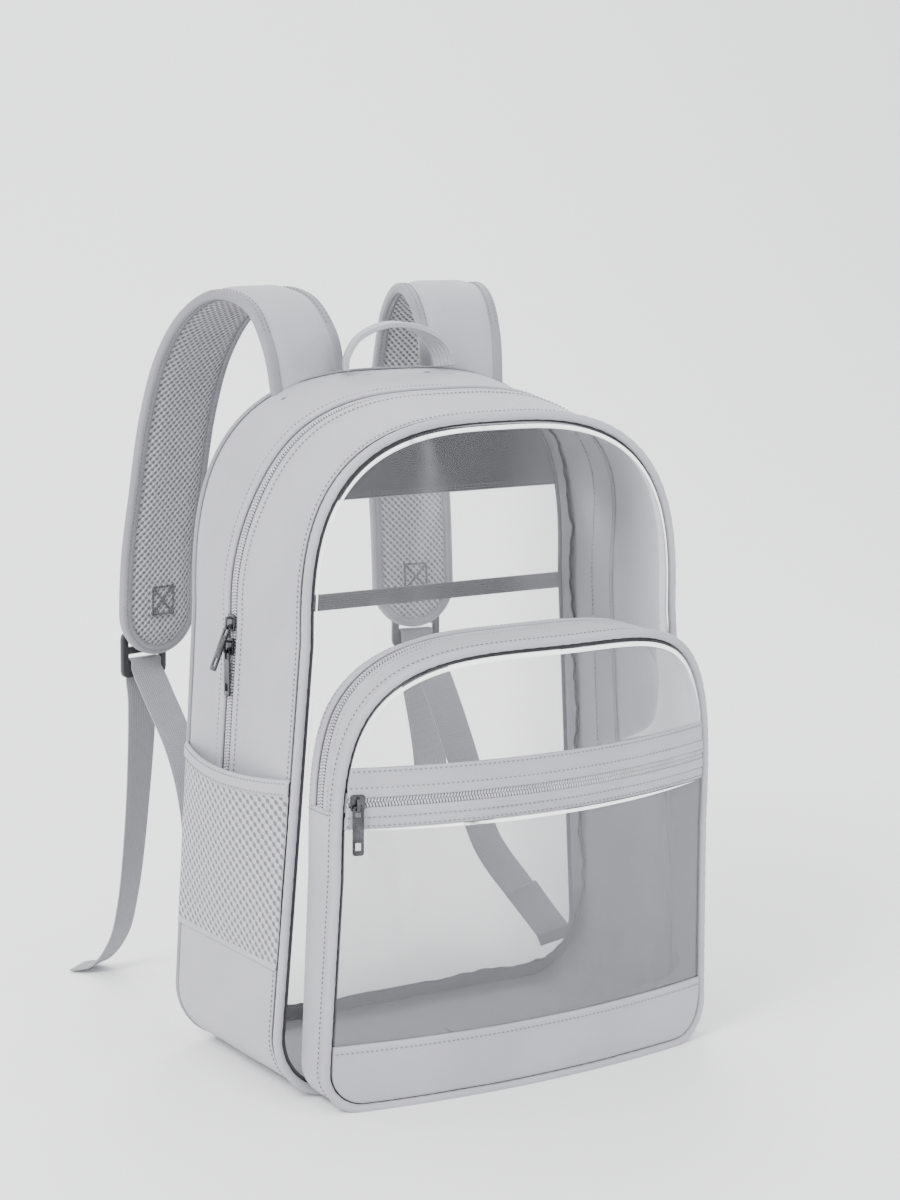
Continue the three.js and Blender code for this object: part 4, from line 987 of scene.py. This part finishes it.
def foot_depth(x, z, to_rim, to_line):
    return pocket_y(x, z) - 0.8 - face_stand(to_rim, 1.2) - 0.35 * ripple(x, z, 70, 2) \
        + 0.7 * np.clip(1 - to_line / 1.0, 0, 1) ** 2


capped_sheet("window", face_rim, upper_z, window_depth, clear, ["pocket_window"], 0.8)
# the lower clear panel's dark overlay is painted shade
level_strip("clear_lower", face_rim, foot_z, lower_z, lower_depth, clear_painted_shade, ["pocket_lower_panel"], 0.8,
            rows=60, cols=120)
capped_sheet("foot_band", face_rim, foot_z + 0.5, foot_depth, cloth, ["pocket_base_band"], 1.4, below=True)


def strip_depth(low, high, folded_high):
    """Depth of a cloth strip between two heights, folded at one of them and sewn at the other."""
    def at(x, z):
        fold = (high - z) if folded_high else (z - low)
        sewn = (z - low) if folded_high else (high - z)
        return pocket_y(x, z) - 0.9 - hemmed(np.abs(fold)) - 0.25 * ripple(x, z, 45, 5) \
            + 0.5 * np.exp(-np.abs(sewn) / 0.8)
    return at


level_strip("zip_strip_lower", face_rim, lower_z - 1.5, zip_z - zip_half,
            strip_depth(lower_z - 1.5, zip_z - zip_half, True), cloth,
            ["front_zip_lower_strip"], 1.3, rows=22, cols=120)
level_strip("zip_strip_upper", face_rim, zip_z + zip_half, upper_z + 1.5,
            strip_depth(zip_z + zip_half, upper_z + 1.5, False), cloth,
            ["front_zip_upper_strip"], 1.3, rows=26, cols=120)
level_strip("zip_tape", face_rim, zip_z - 6, zip_z + 6, lambda x, z: pocket_y(x, z) + 0.9, zipper_tape_painted_shade,
            ["front_zip_coil"], 0.6, rows=6, cols=120)


def face_line(z, stand):
    """A level line on the pocket's face, and its outward directions."""
    count = 140
    x = np.linspace(-1, 1, count) * half_width(face_rim, z)
    line = np.stack([x, pocket_y(x, np.full(count, z)) - stand, np.full(count, z)], -1)
    slope = np.gradient(line[:, 1], line[:, 0])
    return line, np.stack([slope, np.full(count, -1.0), np.zeros(count)], -1)


zipper_chain("front_zip_chain", *face_line(zip_z, 0.15))
# a painted highlight: a thin glowing white strip under the lower zip strip's edge, widest in the middle
x = np.linspace(-124, 126, 90)[:, None]
z = lower_z - 1.6 - 2.2 * (1 - np.abs(x / 126) ** 2.5) * np.linspace(0, 1, 5)[None]
low_glint = np.stack([np.broadcast_to(x, z.shape), pocket_y(x, z) - 2.3, z], -1)
cloth_piece("low_glint", low_glint, low_glint + [0, 0.15, 0], glint_line)
for label, z, stand in (("upper", zip_z + zip_half + 6.2, 1.2), ("lower", zip_z - zip_half - 6.2, 1.2),
                        ("foot", foot_z - 4.0, 2.3), ("top_edge", upper_z - 0.6, 1.2),
                        ("low_edge", lower_z + 0.4, 1.2)):
    stitch_row(f"face_stitch_{label}", *face_line(z, stand))

# %% [markdown]
# ## Side pockets
#
# Each side has an open pocket of knitted net with a hem of cloth at its mouth. It stands off the
# gusset a little in the middle, where a hand goes in, and is sewn down at both seams and at its foot.

# %% Side pockets
net_low, net_high = 86, 203


def side_surface(z, y, out):
    """Points of a side pocket: c runs from the front seam to the back one."""
    c = (y - (front_y + seam)) / (depth - 1.6 - seam)
    belly = 1 - (2 * c - 1) ** 2
    rise = np.clip((z - net_low) / (net_high - net_low), 0, 1)
    sag = 4 * belly * rise
    f = (y - front_y) / depth
    level = z - sag
    x = (1 - f) * half_width(front_ring, level) + f * half_width(back_ring, level)
    return x + 0.5 + 11 * belly * rise ** 0.7 + out, level


def side_piece(name, side, low, high, out, thickness, rows, material, nodes):
    """A piece of a side pocket between two heights; out is how far it stands off the pocket's surface."""
    z = np.linspace(low, high, rows)[:, None]
    y = np.linspace(front_y + seam + 0.2, back_y - 1.8, 56)[None]
    z, y = np.broadcast_arrays(z, y)
    extra = out(z, y)
    x, level = side_surface(z, y, extra)
    x_in, _ = side_surface(z, y, extra - thickness)
    outer = np.stack([side * x, y, level], -1)
    inner = np.stack([side * x_in, y, level], -1)
    return cloth_piece(name, outer.transpose(1, 0, 2), inner.transpose(1, 0, 2), material, nodes)


for label, side in sides:
    side_piece(f"net_{label}", side, net_low, 196, lambda z, y: 0.6 + 0.35 * ripple(y, z, 60, 2), 0.6, 52,
               pocket_net, [f"side_pocket_net_{label}"])
    side_piece(f"net_hem_{label}", side, 192.5, 203.5,
               lambda z, y: 1.7 - 1.3 * np.abs((z - 198) / 5.5) ** 5, 1.2, 18,
               cloth, [f"side_pocket_hem_{label}"])
    side_piece(f"net_foot_{label}", side, 83.5, 88.0,
               lambda z, y: 1.2 - 1.0 * np.abs((z - 85.7) / 2.3) ** 3, 0.8, 8, cloth, [])
    for k, z in enumerate((194.6, 201.4)):
        y = np.linspace(front_y + seam + 2, back_y - 4, 50)
        x, level = side_surface(np.full(50, z), y, 1.75)
        stitch_row(f"net_hem_stitch_{label}_{k}", np.stack([side * x, y, level], -1),
                   np.broadcast_to([float(side), 0.0, 0.0], (50, 3)))

# %% [markdown]
# ## Shoulder straps
#
# A strap is foam between an outer cloth and an air mesh, bound round its edge. Its middle line is a
# smooth curve through a few points: up from the seam, over, and down behind the bag. A place on the
# strap is given by how far along it is, how far across, and how far out of its outer face.

# %% Middle line of a strap
def smooth_curve(points, steps=60):
    """Centripetal Catmull-Rom curve: it passes through every point and doesn't loop at short gaps."""
    p = np.concatenate([[2 * points[0] - points[1]], points, [2 * points[-1] - points[-2]]])
    knots = np.linalg.norm(np.diff(p, axis=0), axis=1) ** 0.5
    t = np.linspace(0, 1, steps, endpoint=False)[None, :, None]
    p0, p1, p2, p3 = (p[k:len(p) - 3 + k][:, None] for k in range(4))
    d0, d1, d2 = (knots[k:len(knots) - 2 + k][:, None, None] for k in range(3))
    m1 = ((p1 - p0) / d0 - (p2 - p0) / (d0 + d1) + (p2 - p1) / d1) * d1
    m2 = ((p2 - p1) / d1 - (p3 - p1) / (d1 + d2) + (p3 - p2) / d2) * d1
    curve = p1 + m1 * t + (3 * (p2 - p1) - 2 * m1 - m2) * t ** 2 + (2 * (p1 - p2) + m1 + m2) * t ** 3
    return np.concatenate([curve.reshape(-1, 3), points[-1:]])


def top_height(x, share=1.0):
    """Height of the bag's top, at a share of the way from the front to the back."""
    ring = (1 - share) * front_ring + share * back_ring
    half = ring[base_steps + 20: ring_count // 2 + 1][::-1]
    return np.interp(np.abs(x), half[:, 0], half[:, 1])


strap_foot_x, strap_lift = 59, 1.6
strap_half, strap_foot_half = 31, 30
strap_reach, strap_rise, strap_drop, strap_splay = 134, 50, 203, 46
strap_turn = math.radians(10)
pad_inset, pad_half_thick = 2.5, 4.6
strap_rows = np.array([
    # back, up, down, out: shares of the reach, the rise, the drop and the splay
    [0.00, 0.00, 0.000, 0.00], [0.06, 0.50, 0.000, 0.06], [0.20, 0.90, 0.000, 0.15],
    [0.42, 1.00, 0.000, 0.32], [0.64, 0.68, 0.000, 0.50], [0.80, 0.08, 0.000, 0.65],
    [0.91, 0.00, 0.185, 0.75], [0.97, 0.00, 0.430, 0.84], [1.00, 0.00, 0.680, 0.95],
    [1.00, 0.00, 1.000, 1.00]])


class Strap:
    """A strap's middle line and the directions across and out of it. Its faces turn outwards by ten
    degrees, because the pads hang towards the bag's sides."""

    def __init__(self, side):
        self.side = side
        self.foot = top_height(strap_foot_x) + strap_lift
        self.across = np.array([math.cos(strap_turn), -side * math.sin(strap_turn), 0.0])
        back, rise, down, out = strap_rows.T
        line = smooth_curve(np.stack([
            side * (strap_foot_x + out * strap_splay), back_y + back * strap_reach,
            self.foot + rise * strap_rise - down * strap_drop], -1))
        self.length = np.linalg.norm(np.diff(line, axis=0), axis=1).sum()
        self.line = even_points(line, 600)
        self.at = np.linspace(0, self.length, 601)
        forward = np.gradient(self.line, axis=0)
        self.out = unit(np.cross(self.across, forward))

    def place(self, s, v, h):
        """s along, v across away from the bag's middle, h out of the outer face."""
        s, v, h = np.broadcast_arrays(np.asarray(s, float), v, h)
        pick = lambda values: np.stack([np.interp(s, self.at, values[:, k]) for k in range(3)], -1)
        point, out = pick(self.line), pick(self.out)
        point = point + out * h[..., None]
        point = point + self.across * (self.side * v)[..., None]
        past = np.clip(s - self.length, 0, None)
        point[..., 2] -= past
        slope = top_height(point[..., 0]) + strap_lift - self.foot
        point[..., 2] += slope * (1 - smooth_step(s / strap_rise)) - 4.8 * (1 - smooth_step(s / 14))
        return point

    def thick(self, s):
        """Half thickness of the pad in its middle."""
        return 2.4 + 2.2 * smooth_step(np.asarray(s) / 62)

    def wide(self, s):
        """Half width of the pad."""
        return strap_foot_half + smooth_step(np.asarray(s) / 124)


def pad_grid(strap, height):
    """Rows down the pad and round its end; height(s, v) is how far out, s along and v across in mm."""
    straight = strap.length - strap_half
    s = np.linspace(0, straight, 120)
    a = np.radians(np.linspace(0, 89, 26)[1:])
    rows = np.concatenate([s, straight + (strap_half - pad_inset) * np.sin(a)])
    half = np.concatenate([strap.wide(s) - pad_inset, (strap_half - pad_inset) * np.cos(a)])
    q = np.sin(np.linspace(-1, 1, 29) * np.pi / 2)[None]
    v = half[:, None] * q
    s = np.broadcast_to(rows[:, None], v.shape)
    return strap.place(s, v, height(s, v))


def pillow(strap, s, v):
    """Half thickness of the pad: full in the middle, pinched where the binding is sewn on."""
    straight = strap.length - strap_half
    beyond = np.clip(s - straight, 0, None)
    r = np.where(beyond > 0, np.hypot(beyond, v), np.abs(v))
    edge = np.clip(strap.wide(s) - r, 0, None)
    return strap.thick(s) * (0.42 + 0.58 * smooth_step((edge - 5.5) / 11))


# %% Pads, linings and bindings
def binding_sections(strap, section):
    """Sections of the binding, down one edge, round the end and up the other. The section holds pairs
    of inset from the edge and height."""
    straight = strap.length - strap_half
    down = np.linspace(0, straight, 130)
    around = np.radians(np.linspace(0, 180, 50)[1:-1])
    q, h = section[:, 0], section[:, 1]
    scale = (strap.thick(down) * 0.42 + 1.5)[:, None]
    left = strap.place(down[:, None] + 0 * q, -(strap.wide(down)[:, None] - q), h * scale - 0.4)
    end_scale = strap.thick(straight) * 0.42 + 1.5
    r = strap_half - q
    turn_rows = strap.place(straight + r * np.sin(around)[:, None], -r * np.cos(around)[:, None],
                            h * end_scale - 0.4)
    right = strap.place(down[::-1, None] + 0 * q, strap.wide(down[::-1])[:, None] - q,
                        h * scale[::-1] - 0.4)
    return np.concatenate([left, turn_rows, right])


def strap_pieces(label, side):
    """Pad, air mesh, binding and the binding's stitches."""
    strap = Strap(side)
    outer = pad_grid(strap, lambda s, v: pillow(strap, s, v))
    inner = pad_grid(strap, lambda s, v: -pillow(strap, s, v) * 0.9)
    pad = cloth_piece(f"pad_{label}", outer, inner, cloth, [f"strap_pad_{label}"])
    outer = pad_grid(strap, lambda s, v: -pillow(strap, s, v) * 0.9 - 0.3)
    inner = pad_grid(strap, lambda s, v: -pillow(strap, s, v) * 0.9 - 1.3)
    cloth_piece(f"pad_lining_{label}", inner, outer, pad_net, [f"strap_lining_{label}"])
    angle = np.linspace(0, 2 * np.pi, 19)[:-1]
    c, d = np.cos(angle), np.sin(angle)
    section = np.stack([3.6 - 4.0 * np.sign(c) * np.abs(c) ** 0.5, np.sign(d) * np.abs(d) ** 0.7], -1)
    rolled_piece(f"pad_binding_{label}", binding_sections(strap, section), edge_tape,
                 [f"strap_binding_{label}"])
    for face, height, stitch, thread_half in (("outer", 1.0, 1.5, 0.32), ("inner", -1.0, 2.5, 0.5)):
        for k, q in enumerate((2.6, 6.2)):
            row = binding_sections(strap, np.array([[q, height]]))[:, 0]
            middle = binding_sections(strap, np.array([[q, 0.0]]))[:, 0]
            stitch_row(f"pad_stitch_{label}_{face}_{k}", row[12:-12], (row - middle)[12:-12],
                       length=stitch, width=thread_half)
    return strap


straps = {label: strap_pieces(label, side) for label, side in sides}

# %% [markdown]
# ## Webbing
#
# Webbing is a flat ribbon along a route. At each point the route gives a direction and the ribbon a
# width direction; their cross product is its face. From the bottom corner it runs up to the buckle,
# over the buckle's lower bar, and hangs down as a tail.

# %% Ribbons
webbing_width, webbing_thick = 25, 1.5


def ribbon(name, points, across, width, thickness, material, nodes, sewn=None):
    """A flat ribbon along points. With sewn, a ring, it stays within the ring's half width."""
    forward = unit(np.gradient(points, axis=0))
    w = unit(across - forward * np.sum(across * forward, axis=1, keepdims=True))
    face = np.cross(forward, w)
    k = np.array([-1, -0.97, -0.9, -0.6, -0.3, 0, 0.3, 0.6, 0.9, 0.97, 1])
    swell = np.array([0.35, 0.8, 1, 0.92, 0.92, 0.92, 0.92, 0.92, 1, 0.8, 0.35])
    base = points[:, None] + w[:, None] * (k * width / 2)[None, :, None]
    rise = face[:, None] * (thickness / 2 * swell)[None, :, None]
    if sewn is not None:
        reach = half_width(sewn, base[..., 2]) - 1.5
        base[..., 0] = np.clip(base[..., 0], -reach, reach)
    return cloth_piece(name, base + rise, base - rise, material, nodes)


def mixed(a, b, t):
    """From a to b by the share t."""
    return a + (b - a) * t


webbing_routes = {
    # across, back, up: 0 to 1 from the buckle to the bottom corner
    "left": [[-0.06, 0.90, 0.88], [-0.14, 0.70, 0.72], [-0.06, 0.52, 0.56], [0.20, 0.33, 0.36],
             [0.62, 0.14, 0.14], [1.00, 0.02, 0.00]],
    "right": [[0.28, 0.92, 0.84], [0.62, 0.74, 0.53], [0.66, 0.53, 0.27], [0.90, 0.27, 0.11],
              [1.00, 0.02, 0.00]]}
tail_tables = {
    # out, back, down, turn of the ribbon in degrees
    "left": [[0.00, 0.01, 0.060, 0], [-0.03, 0.02, 0.116, 2], [0.02, 0.08, 0.428, 13],
             [0.17, 0.17, 0.758, 20], [0.21, 0.39, 0.895, 21], [0.36, 0.67, 0.978, 22],
             [0.55, 1.00, 1.000, 22]],
    "right": [[0.00, 0.01, 0.060, 0], [0.03, 0.02, 0.116, 2], [0.32, 0.08, 0.428, 8],
              [0.42, 0.20, 0.758, 14], [0.50, 1.00, 1.000, 14]]}
tab_share, lap = 0.82, 2.1


def turned(vectors, angle):
    """Turned about the upright axis."""
    c, s = np.cos(angle), np.sin(angle)
    x, y, z = np.moveaxis(vectors, -1, 0)
    return np.stack([c * x - s * y, s * x + c * y, z], -1)


class Buckle:
    """Where a buckle hangs below its pad, and how the webbing passes through it. It stands behind the pad
    by the webbing's thickness, two small gaps and half of its plate, and 5 mm outside the pad's middle."""

    def __init__(self, strap):
        self.strap = strap
        self.end = strap.place(strap.length, 0.0, 0.0)
        self.x = self.end[0] + strap.side * 5
        self.y = self.end[1] + pad_half_thick + webbing_thick + 0.6 + 2.0
        self.top = self.end[2] + 16
        self.bar_top = self.top - 15.5 - 5.5

    def with_pad(self, points):
        """Turned about the pad's end, as the pad is."""
        return self.end + turned(points - self.end, -self.strap.side * strap_turn)

    def path(self, rows):
        """Rows of depth and height in the buckle's own plane."""
        rows = np.array(rows)
        return self.with_pad(np.stack([np.full(len(rows), self.x), rows[:, 0], rows[:, 1]], -1))


# from the middle of the plate to the middle of the webbing: half the plate, a gap, half the webbing
clear_of = 2 + 0.3 + 0.75
# the webbing turns each corner of its way round a bar by a short cut
cut45 = 0.65


def strap_loop(label, buckle):
    """The loop from the pad, through the upper slot and back."""
    top, seat, front = buckle.top + 5, buckle.top - 5 - 1.05, buckle.y
    loop = buckle.path([
        [front - clear_of, top + 22], [front - clear_of, top], [front - clear_of, seat + cut45],
        [front + (-clear_of + cut45), seat], [front + (clear_of - cut45), seat],
        [front + clear_of, seat + cut45], [front + clear_of, top - 2.5],
        [front + (-clear_of + 1.8), top + 5], [front + (-clear_of + 1.8), top + 22]])
    ribbon(f"loop_{label}", loop, np.broadcast_to(buckle.strap.across, loop.shape), webbing_width - 1,
           webbing_thick, strap_webbing, [f"strap_loop_{label}"])


def corner_route(label, buckle, start):
    """The way from the buckle's bar down to the bottom corner, and the ribbon's level direction."""
    corner = np.array([buckle.strap.side * 143.0, back_y, 30.0])
    rows = np.array(webbing_routes[label])
    route = np.stack([mixed(buckle.x, corner[0], rows[:, 0]),
                      mixed(corner[1], buckle.end[1] + pad_half_thick, rows[:, 1]),
                      mixed(corner[2], buckle.bar_top, rows[:, 2])], -1)
    route = even_points(smooth_curve(np.concatenate([start, route])), 200)
    forward = unit(np.gradient(route, axis=0))
    level = np.stack([np.abs(forward[:, 2]), np.zeros(201), -forward[:, 0] * np.sign(forward[:, 2])], -1)
    return route, level, forward


def hanging_tail(label, buckle, start, far, tail_share):
    """The tail behind the bar, and the directions of its width."""
    side = buckle.strap.side
    rows = np.array(tail_tables[label])
    tail = buckle.with_pad(np.stack([
        buckle.x + side * rows[:, 0] * strap_splay, far + rows[:, 1] * strap_splay,
        mixed(buckle.bar_top, 1.05, rows[:, 2])], -1))
    tail = even_points(smooth_curve(np.concatenate([start, tail])), 120)
    tail = tail[1: int(120 * tail_share) + 1]
    share = (buckle.bar_top - tail[:, 2]) / buckle.bar_top
    angle = np.radians(np.interp(share, rows[:, 2], rows[:, 3])) + strap_turn
    return tail, np.stack([np.cos(angle), -side * np.sin(angle), np.zeros(len(tail))], -1)


def lower_webbing(label, buckle, tail_share):
    """The webbing from the corner up, over the bar and down, and the tab that holds it."""
    near, far = buckle.y - clear_of, buckle.y + clear_of
    low, over = buckle.bar_top - 5, buckle.bar_top + 1.05
    wrap = buckle.path([[near, low], [near, over - cut45], [near + cut45, over],
                        [far - cut45, over], [far, over - cut45], [far, low]])
    route, level, forward = corner_route(label, buckle, wrap[:1])
    t = np.linspace(0, 1, 201)
    out = unit(np.cross(unit(level), forward))
    laid = route + out * (lap * smooth_step(t / tab_share))[:, None]
    twist = -buckle.strap.side * strap_turn * smooth_step(1 - t / (tab_share + 0.08))
    laid, laid_across = laid[6:181][::-1], turned(level, twist)[6:181][::-1]
    tail, tail_across = hanging_tail(label, buckle, wrap[-1:], far, tail_share)
    wrap_across = np.broadcast_to(buckle.strap.across, wrap.shape)
    ribbon(f"webbing_{label}", np.concatenate([laid, wrap, tail]),
           np.concatenate([laid_across, wrap_across, tail_across]), webbing_width, webbing_thick,
           strap_webbing, [f"lower_webbing_{label}"])
    tab = slice(int(200 * tab_share), 201)
    ahead = unit(route[-1] - route[-6]) * np.linspace(2, 12, 6)[:, None]
    under = np.stack([route[-1, 0] + ahead[:, 0], np.linspace(route[-1, 1], back_y - 0.6, 6),
                      route[-1, 2] + ahead[:, 2]], -1)
    ribbon(f"tab_{label}", np.concatenate([route[tab], under]),
           np.concatenate([level[tab], np.repeat(level[-1:], 6, 0)]), webbing_width + 3, webbing_thick,
           tape, [f"corner_tab_{label}"], sewn=back_ring)


def lining_patch(label, strap):
    """The box stitched patch on the air mesh, near the pad's end."""
    s = np.linspace(strap.length - 49, strap.length - 27, 12)[:, None]
    v = np.linspace(-10, 10, 12)[None]
    height = -pillow(strap, s + 0 * v, v + 0 * s) * 0.9 - 1.3
    face = strap.place(s + 0 * v, v + 0 * s, height - 0.8)
    cloth_piece(f"patch_{label}", face, strap.place(s + 0 * v, v + 0 * s, height), pad_net,
                [f"strap_patch_{label}"])
    low, high, w = strap.length - 47.5, strap.length - 28.5, 8.5
    strokes = [((low, -w), (high, -w)), ((low, w), (high, w)), ((low, -w), (low, w)),
               ((high, -w), (high, w)), ((low, -w), (high, w)), ((low, w), (high, -w))]
    for k, (a, b) in enumerate(strokes):
        s, v = np.linspace(a[0], b[0], 14), np.linspace(a[1], b[1], 14)
        depth_here = -pillow(strap, s, v) * 0.9 - 2.25
        line = strap.place(s, v, depth_here)
        stitch_row(f"patch_stitch_{label}_{k}", line, line - strap.place(s, v, depth_here + 1),
                   dark_thread_and_shade, pitch=2.2, length=2.1, width=0.8)


for label, tail_share in (("left", 1.0), ("right", 0.45)):
    buckle = Buckle(straps[label])
    strap_loop(label, buckle)
    lower_webbing(label, buckle, tail_share)
    lining_patch(label, straps[label])

# %% [markdown]
# ## Haul handle
#
# The handle is a thicker ribbon with both ends at the top seam. It leans, and twists a little.

# %% Handle
handle_half, handle_high = 38.0, 29.0
handle_rows = np.array([
    # across and up, as shares of the half length and the height, and the turn of its width in degrees
    [-1.00, 0.00, 25], [-0.98, 0.28, 25], [-0.78, 0.68, 24], [-0.38, 0.94, 20], [0.00, 1.00, 12],
    [0.38, 0.92, -5], [0.76, 0.62, -25], [0.96, 0.26, -40], [1.00, 0.00, -45]])
handle_y = back_y - 11
foot_height = top_height(handle_half, (handle_y - front_y) / depth) + 2.6
rough = np.stack([handle_rows[:, 0] * handle_half, np.full(9, handle_y),
                  foot_height + handle_rows[:, 1] * handle_high], -1)
handle_line = even_points(smooth_curve(rough), 90)
angle = np.radians(np.interp(np.linspace(0, 8, 91), np.arange(9), handle_rows[:, 2]))
handle_across = np.stack([np.sin(angle), np.cos(angle), np.zeros(91)], -1)
ribbon("handle", handle_line, handle_across, 14.5, 3.6, handle_webbing, ["haul_handle"])

# %% [markdown]
# ## Sliders, pull tabs and buckles
#
# These solids have the right shape already, but their edges are sharp. Cast and moulded parts never
# have a sharp edge, and a thin bright line along a rounded edge is what makes metal look like metal.
# A copy of each solid is welded, and a bevel of a few tenths of a millimetre rounds it.

# %% Rounded copies of the hard solids
def rounded_copy(name, node, material, width, body):
    """A copy of a solid with its edges rounded by width, which rides on a body."""
    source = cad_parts[node]
    mesh = source.data.copy()
    work = bmesh.new()
    work.from_mesh(mesh)
    bmesh.ops.remove_doubles(work, verts=work.verts, dist=1e-6)
    bmesh.ops.dissolve_limit(work, angle_limit=math.radians(3), verts=work.verts, edges=work.edges)
    work.to_mesh(mesh)
    work.free()
    mesh.materials.clear()
    mesh.materials.append(material)
    mesh.polygons.foreach_set("use_smooth", np.full(len(mesh.polygons), True))
    piece = bpy.data.objects.new(name, mesh)
    bpy.context.scene.collection.objects.link(piece)
    soften = piece.modifiers.new("edges", "BEVEL")
    soften.width = width / 1000
    soften.segments = 3
    soften.limit_method = "ANGLE"
    soften.angle_limit = math.radians(30)
    soften.harden_normals = True
    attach(piece, body)
    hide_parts(node)
    return piece


for zipper in ("main_upper", "main_lower", "front", "pocket"):
    rounded_copy(f"{zipper}_slider_cast", f"{zipper}_slider", gunmetal, 0.3, "bag")
    rounded_copy(f"{zipper}_pull_cast", f"{zipper}_pull", gunmetal, 0.25, f"{zipper}_pull_body")
for label in ("left", "right"):
    rounded_copy(f"buckle_{label}", f"ladder_lock_{label}", black_plastic, 0.8, "bag")

# %% [markdown]
# ## Floor and light
#
# The bag stands on a pale floor that curves up into a wall, so that no horizon shows. The light is
# soft and comes from everywhere, a little stronger from the upper left.

# %% Floor and wall
reach = np.concatenate([np.linspace(-9000, 900, 12), 900 + 900 * np.sin(np.linspace(0, np.pi / 2, 24))[1:],
                        np.full(4, 1800.0)])
climb = np.concatenate([np.zeros(12), 900 - 900 * np.cos(np.linspace(0, np.pi / 2, 24))[1:],
                        np.linspace(1200, 3600, 4)])
sweep = np.stack(np.broadcast_arrays(np.linspace(-9000, 9000, 3)[:, None], reach[None], climb[None]), -1)
plaster, plaster_shader, _, _ = new_finish("plaster")
plug(plaster_shader, Base_Color=(0.93, 0.93, 0.93, 1), Roughness=0.7, Specular_IOR_Level=0.2)
faces, _ = face_corners(*sweep.shape[:2], False)
backdrop_mesh = bpy.data.meshes.new("backdrop")
backdrop_mesh.from_pydata((sweep.reshape(-1, 3) / 1000).tolist(), [], faces.tolist())
backdrop_mesh.polygons.foreach_set("use_smooth", np.full(len(faces), True))
backdrop_mesh.materials.append(plaster)
backdrop = bpy.data.objects.new("backdrop", backdrop_mesh)
bpy.context.scene.collection.objects.link(backdrop)

# %% Lamps
world = bpy.data.worlds.new("sky")
world.use_nodes = True
world.node_tree.nodes["Background"].inputs[0].default_value = (0.95, 0.97, 1.0, 1)
world.node_tree.nodes["Background"].inputs[1].default_value = 1.62
bpy.context.scene.world = world


def lamp(name, place, target, size, power):
    """A round soft lamp at a place, turned towards a target."""
    light = bpy.data.lights.new(name, "AREA")
    light.shape = "DISK"
    light.size, light.energy = size, power
    holder = bpy.data.objects.new(name, light)
    aim = np.array(target, float) - np.array(place, float)
    back = unit(-aim)
    side = unit(np.cross([0, 0, 1.0], back))
    holder.matrix_world = Matrix.Translation(place) @ Matrix(
        np.column_stack([side, np.cross(back, side), back]).tolist()).to_4x4()
    bpy.context.scene.collection.objects.link(holder)


lamp("window_light", (-2.1, -0.9, 2.2), (0, 0, 0.2), 1.2, 85)
lamp("front_light", (0.5, -2.6, 1.3), (0, 0, 0.2), 2.2, 22)
lamp("back_light", (0.9, 1.5, 2.3), (0, 0.05, 0.25), 1.4, 40)
